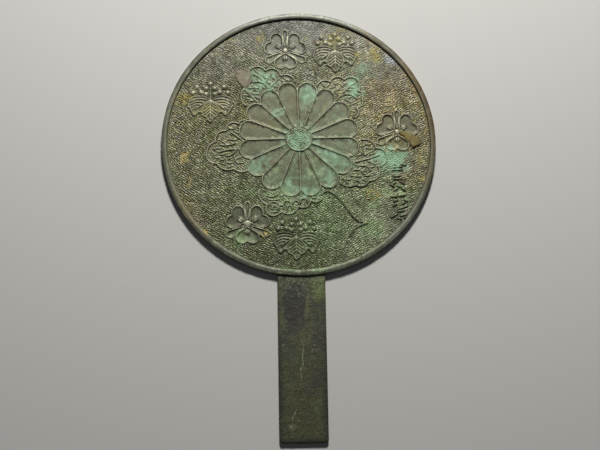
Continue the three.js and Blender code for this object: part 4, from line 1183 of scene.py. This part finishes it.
def tarnished_face():
    """The polished face, gone brown and blotched, with fine wipe marks and a few green spots."""
    f = Finish("tarnished_mirror_face")
    blotches = f.noise(13, 5, 0.6)
    spots = f.noise(4, 6, 0.72, offset=(0.2, 0.4, 0))
    wipes = f.noise(2.5, 3, 0.6, offset=(0.6, 0.1, 0), stretch=(1, 14, 1))
    colour = f.mix(f.between(blotches, 0.35, 0.65), FACE_BROWN, FACE_DARK)
    colour = f.mix(f.between(spots, 0.58, 0.72, 0, 0.7), colour, FACE_STAINS)
    colour = f.mix(f.between(f.times(spots, blotches), 0.33, 0.42, 0, 0.8), colour, FACE_GREEN)
    f.feed(f.shader, {
        "Base Color": colour, "Metallic": f.between(spots, 0.45, 0.7, 0.85, 0.55),
        "Roughness": f.between(f.plus(wipes, blotches), 0.7, 1.3, 0.28, 0.5),
        "Normal": f.bump(wipes, 0.02 * MM, 0.4),
    })
    return f.material


def finish_mirror(piece, charts):
    """Shades the casting smoothly and gives the face below, which lies on the floor, its own material."""
    stain(piece, charts)
    mesh = piece.data
    mesh.shade_smooth()
    mesh.set_sharp_from_angle(angle=math.radians(50))
    mesh.materials.clear()
    mesh.materials.append(aged_bronze())
    mesh.materials.append(tarnished_face())
    on_floor = 0.02 * MM
    centres = np.empty(len(mesh.polygons) * 3, np.float32)
    mesh.polygons.foreach_get("center", centres)
    below = (centres.reshape(-1, 3)[:, 2] < on_floor).astype(np.int32)
    mesh.polygons.foreach_set("material_index", below)
    mesh.update()


def lay_floor():
    """A plain pale floor, a hair below the mirror."""
    half, level = 3.0, -0.0002
    points = [(-half, -half, level), (half, -half, level), (half, half, level), (-half, half, level)]
    mesh = bpy.data.meshes.new("floor")
    mesh.from_pydata(points, [], [(0, 1, 2, 3)])
    paint = bpy.data.materials.new("pale_floor")
    paint.use_nodes = True
    shader = paint.node_tree.nodes["Principled BSDF"]
    shader.inputs["Base Color"].default_value = (0.62, 0.61, 0.59, 1)
    shader.inputs["Roughness"].default_value = 0.85
    mesh.materials.append(paint)
    return place_object("floor", mesh)


def aim(thing, place, target, roll=0.0):
    """Puts a light or the camera at a place, looking at the target, with +Y up, then turned about its own axis."""
    back = np.array(place, float) - np.array(target, float)
    back /= np.linalg.norm(back)
    right = np.cross((0, 1, 0), back)
    right /= np.linalg.norm(right)
    up = np.cross(back, right)
    turned_right = math.cos(roll) * right + math.sin(roll) * up
    turned_up = math.cos(roll) * up - math.sin(roll) * right
    matrix = np.eye(4)
    matrix[:3, 0], matrix[:3, 1], matrix[:3, 2], matrix[:3, 3] = turned_right, turned_up, back, place
    thing.matrix_world = matrix.T


def direction(azimuth, elevation):
    """The unit vector towards an azimuth, counted from +X to +Y, and an elevation, in degrees."""
    a, e = math.radians(azimuth), math.radians(elevation)
    return np.array([math.cos(a) * math.cos(e), math.sin(a) * math.cos(e), math.sin(e)])


def softbox(name, azimuth, elevation, distance, size, power, colour):
    """A square area light that looks at the disc's centre."""
    light = bpy.data.lights.new(name, "AREA")
    light.shape = "SQUARE"
    light.size = size
    light.energy = power
    light.color = colour
    aim(place_object(name, light), distance * direction(azimuth, elevation), (0, 0, 0))


def light_studio():
    """A small light beyond the rim's top, which draws the relief, a faint broad one overhead, and a dim sky."""
    softbox(
        "far_softbox", azimuth=86, elevation=46, distance=0.69, size=0.12, power=5.35, colour=(1.0, 0.985, 0.95),
    )
    softbox(
        "overhead_fill", azimuth=250, elevation=80, distance=1.4, size=1.2, power=0.38, colour=(0.96, 0.98, 1.0),
    )
    world = bpy.data.worlds.new("studio")
    world.use_nodes = True
    sky = world.node_tree.nodes["Background"]
    sky.inputs["Color"].default_value = (0.88, 0.92, 1.0, 1)
    sky.inputs["Strength"].default_value = 0.036
    bpy.context.scene.world = world
    bpy.context.scene.view_settings.view_transform = "Standard"


def place_camera():
    """From above and a little in front, tilted 13.9 degrees from straight down."""
    tilt, around, roll = math.radians(13.88), math.radians(-8.15), math.radians(-1.0)
    target, distance = np.array([-0.0002, -0.0471, 0]), 0.599
    back = np.array([math.sin(around) * math.sin(tilt), -math.cos(around) * math.sin(tilt), math.cos(tilt)])
    camera_data = bpy.data.cameras.new("camera")
    camera_data.lens = 66
    camera_data.sensor_width = 36
    camera_data.clip_start = 0.01
    camera = place_object("camera", camera_data)
    aim(camera, target + distance * back, target, roll)
    bpy.context.scene.camera = camera


charts = draw_back()
mirror = cast_mirror(charts)
finish_mirror(mirror, charts)
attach(mirror, "root")
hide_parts(NODE)

floor = lay_floor()
light_studio()
place_camera()
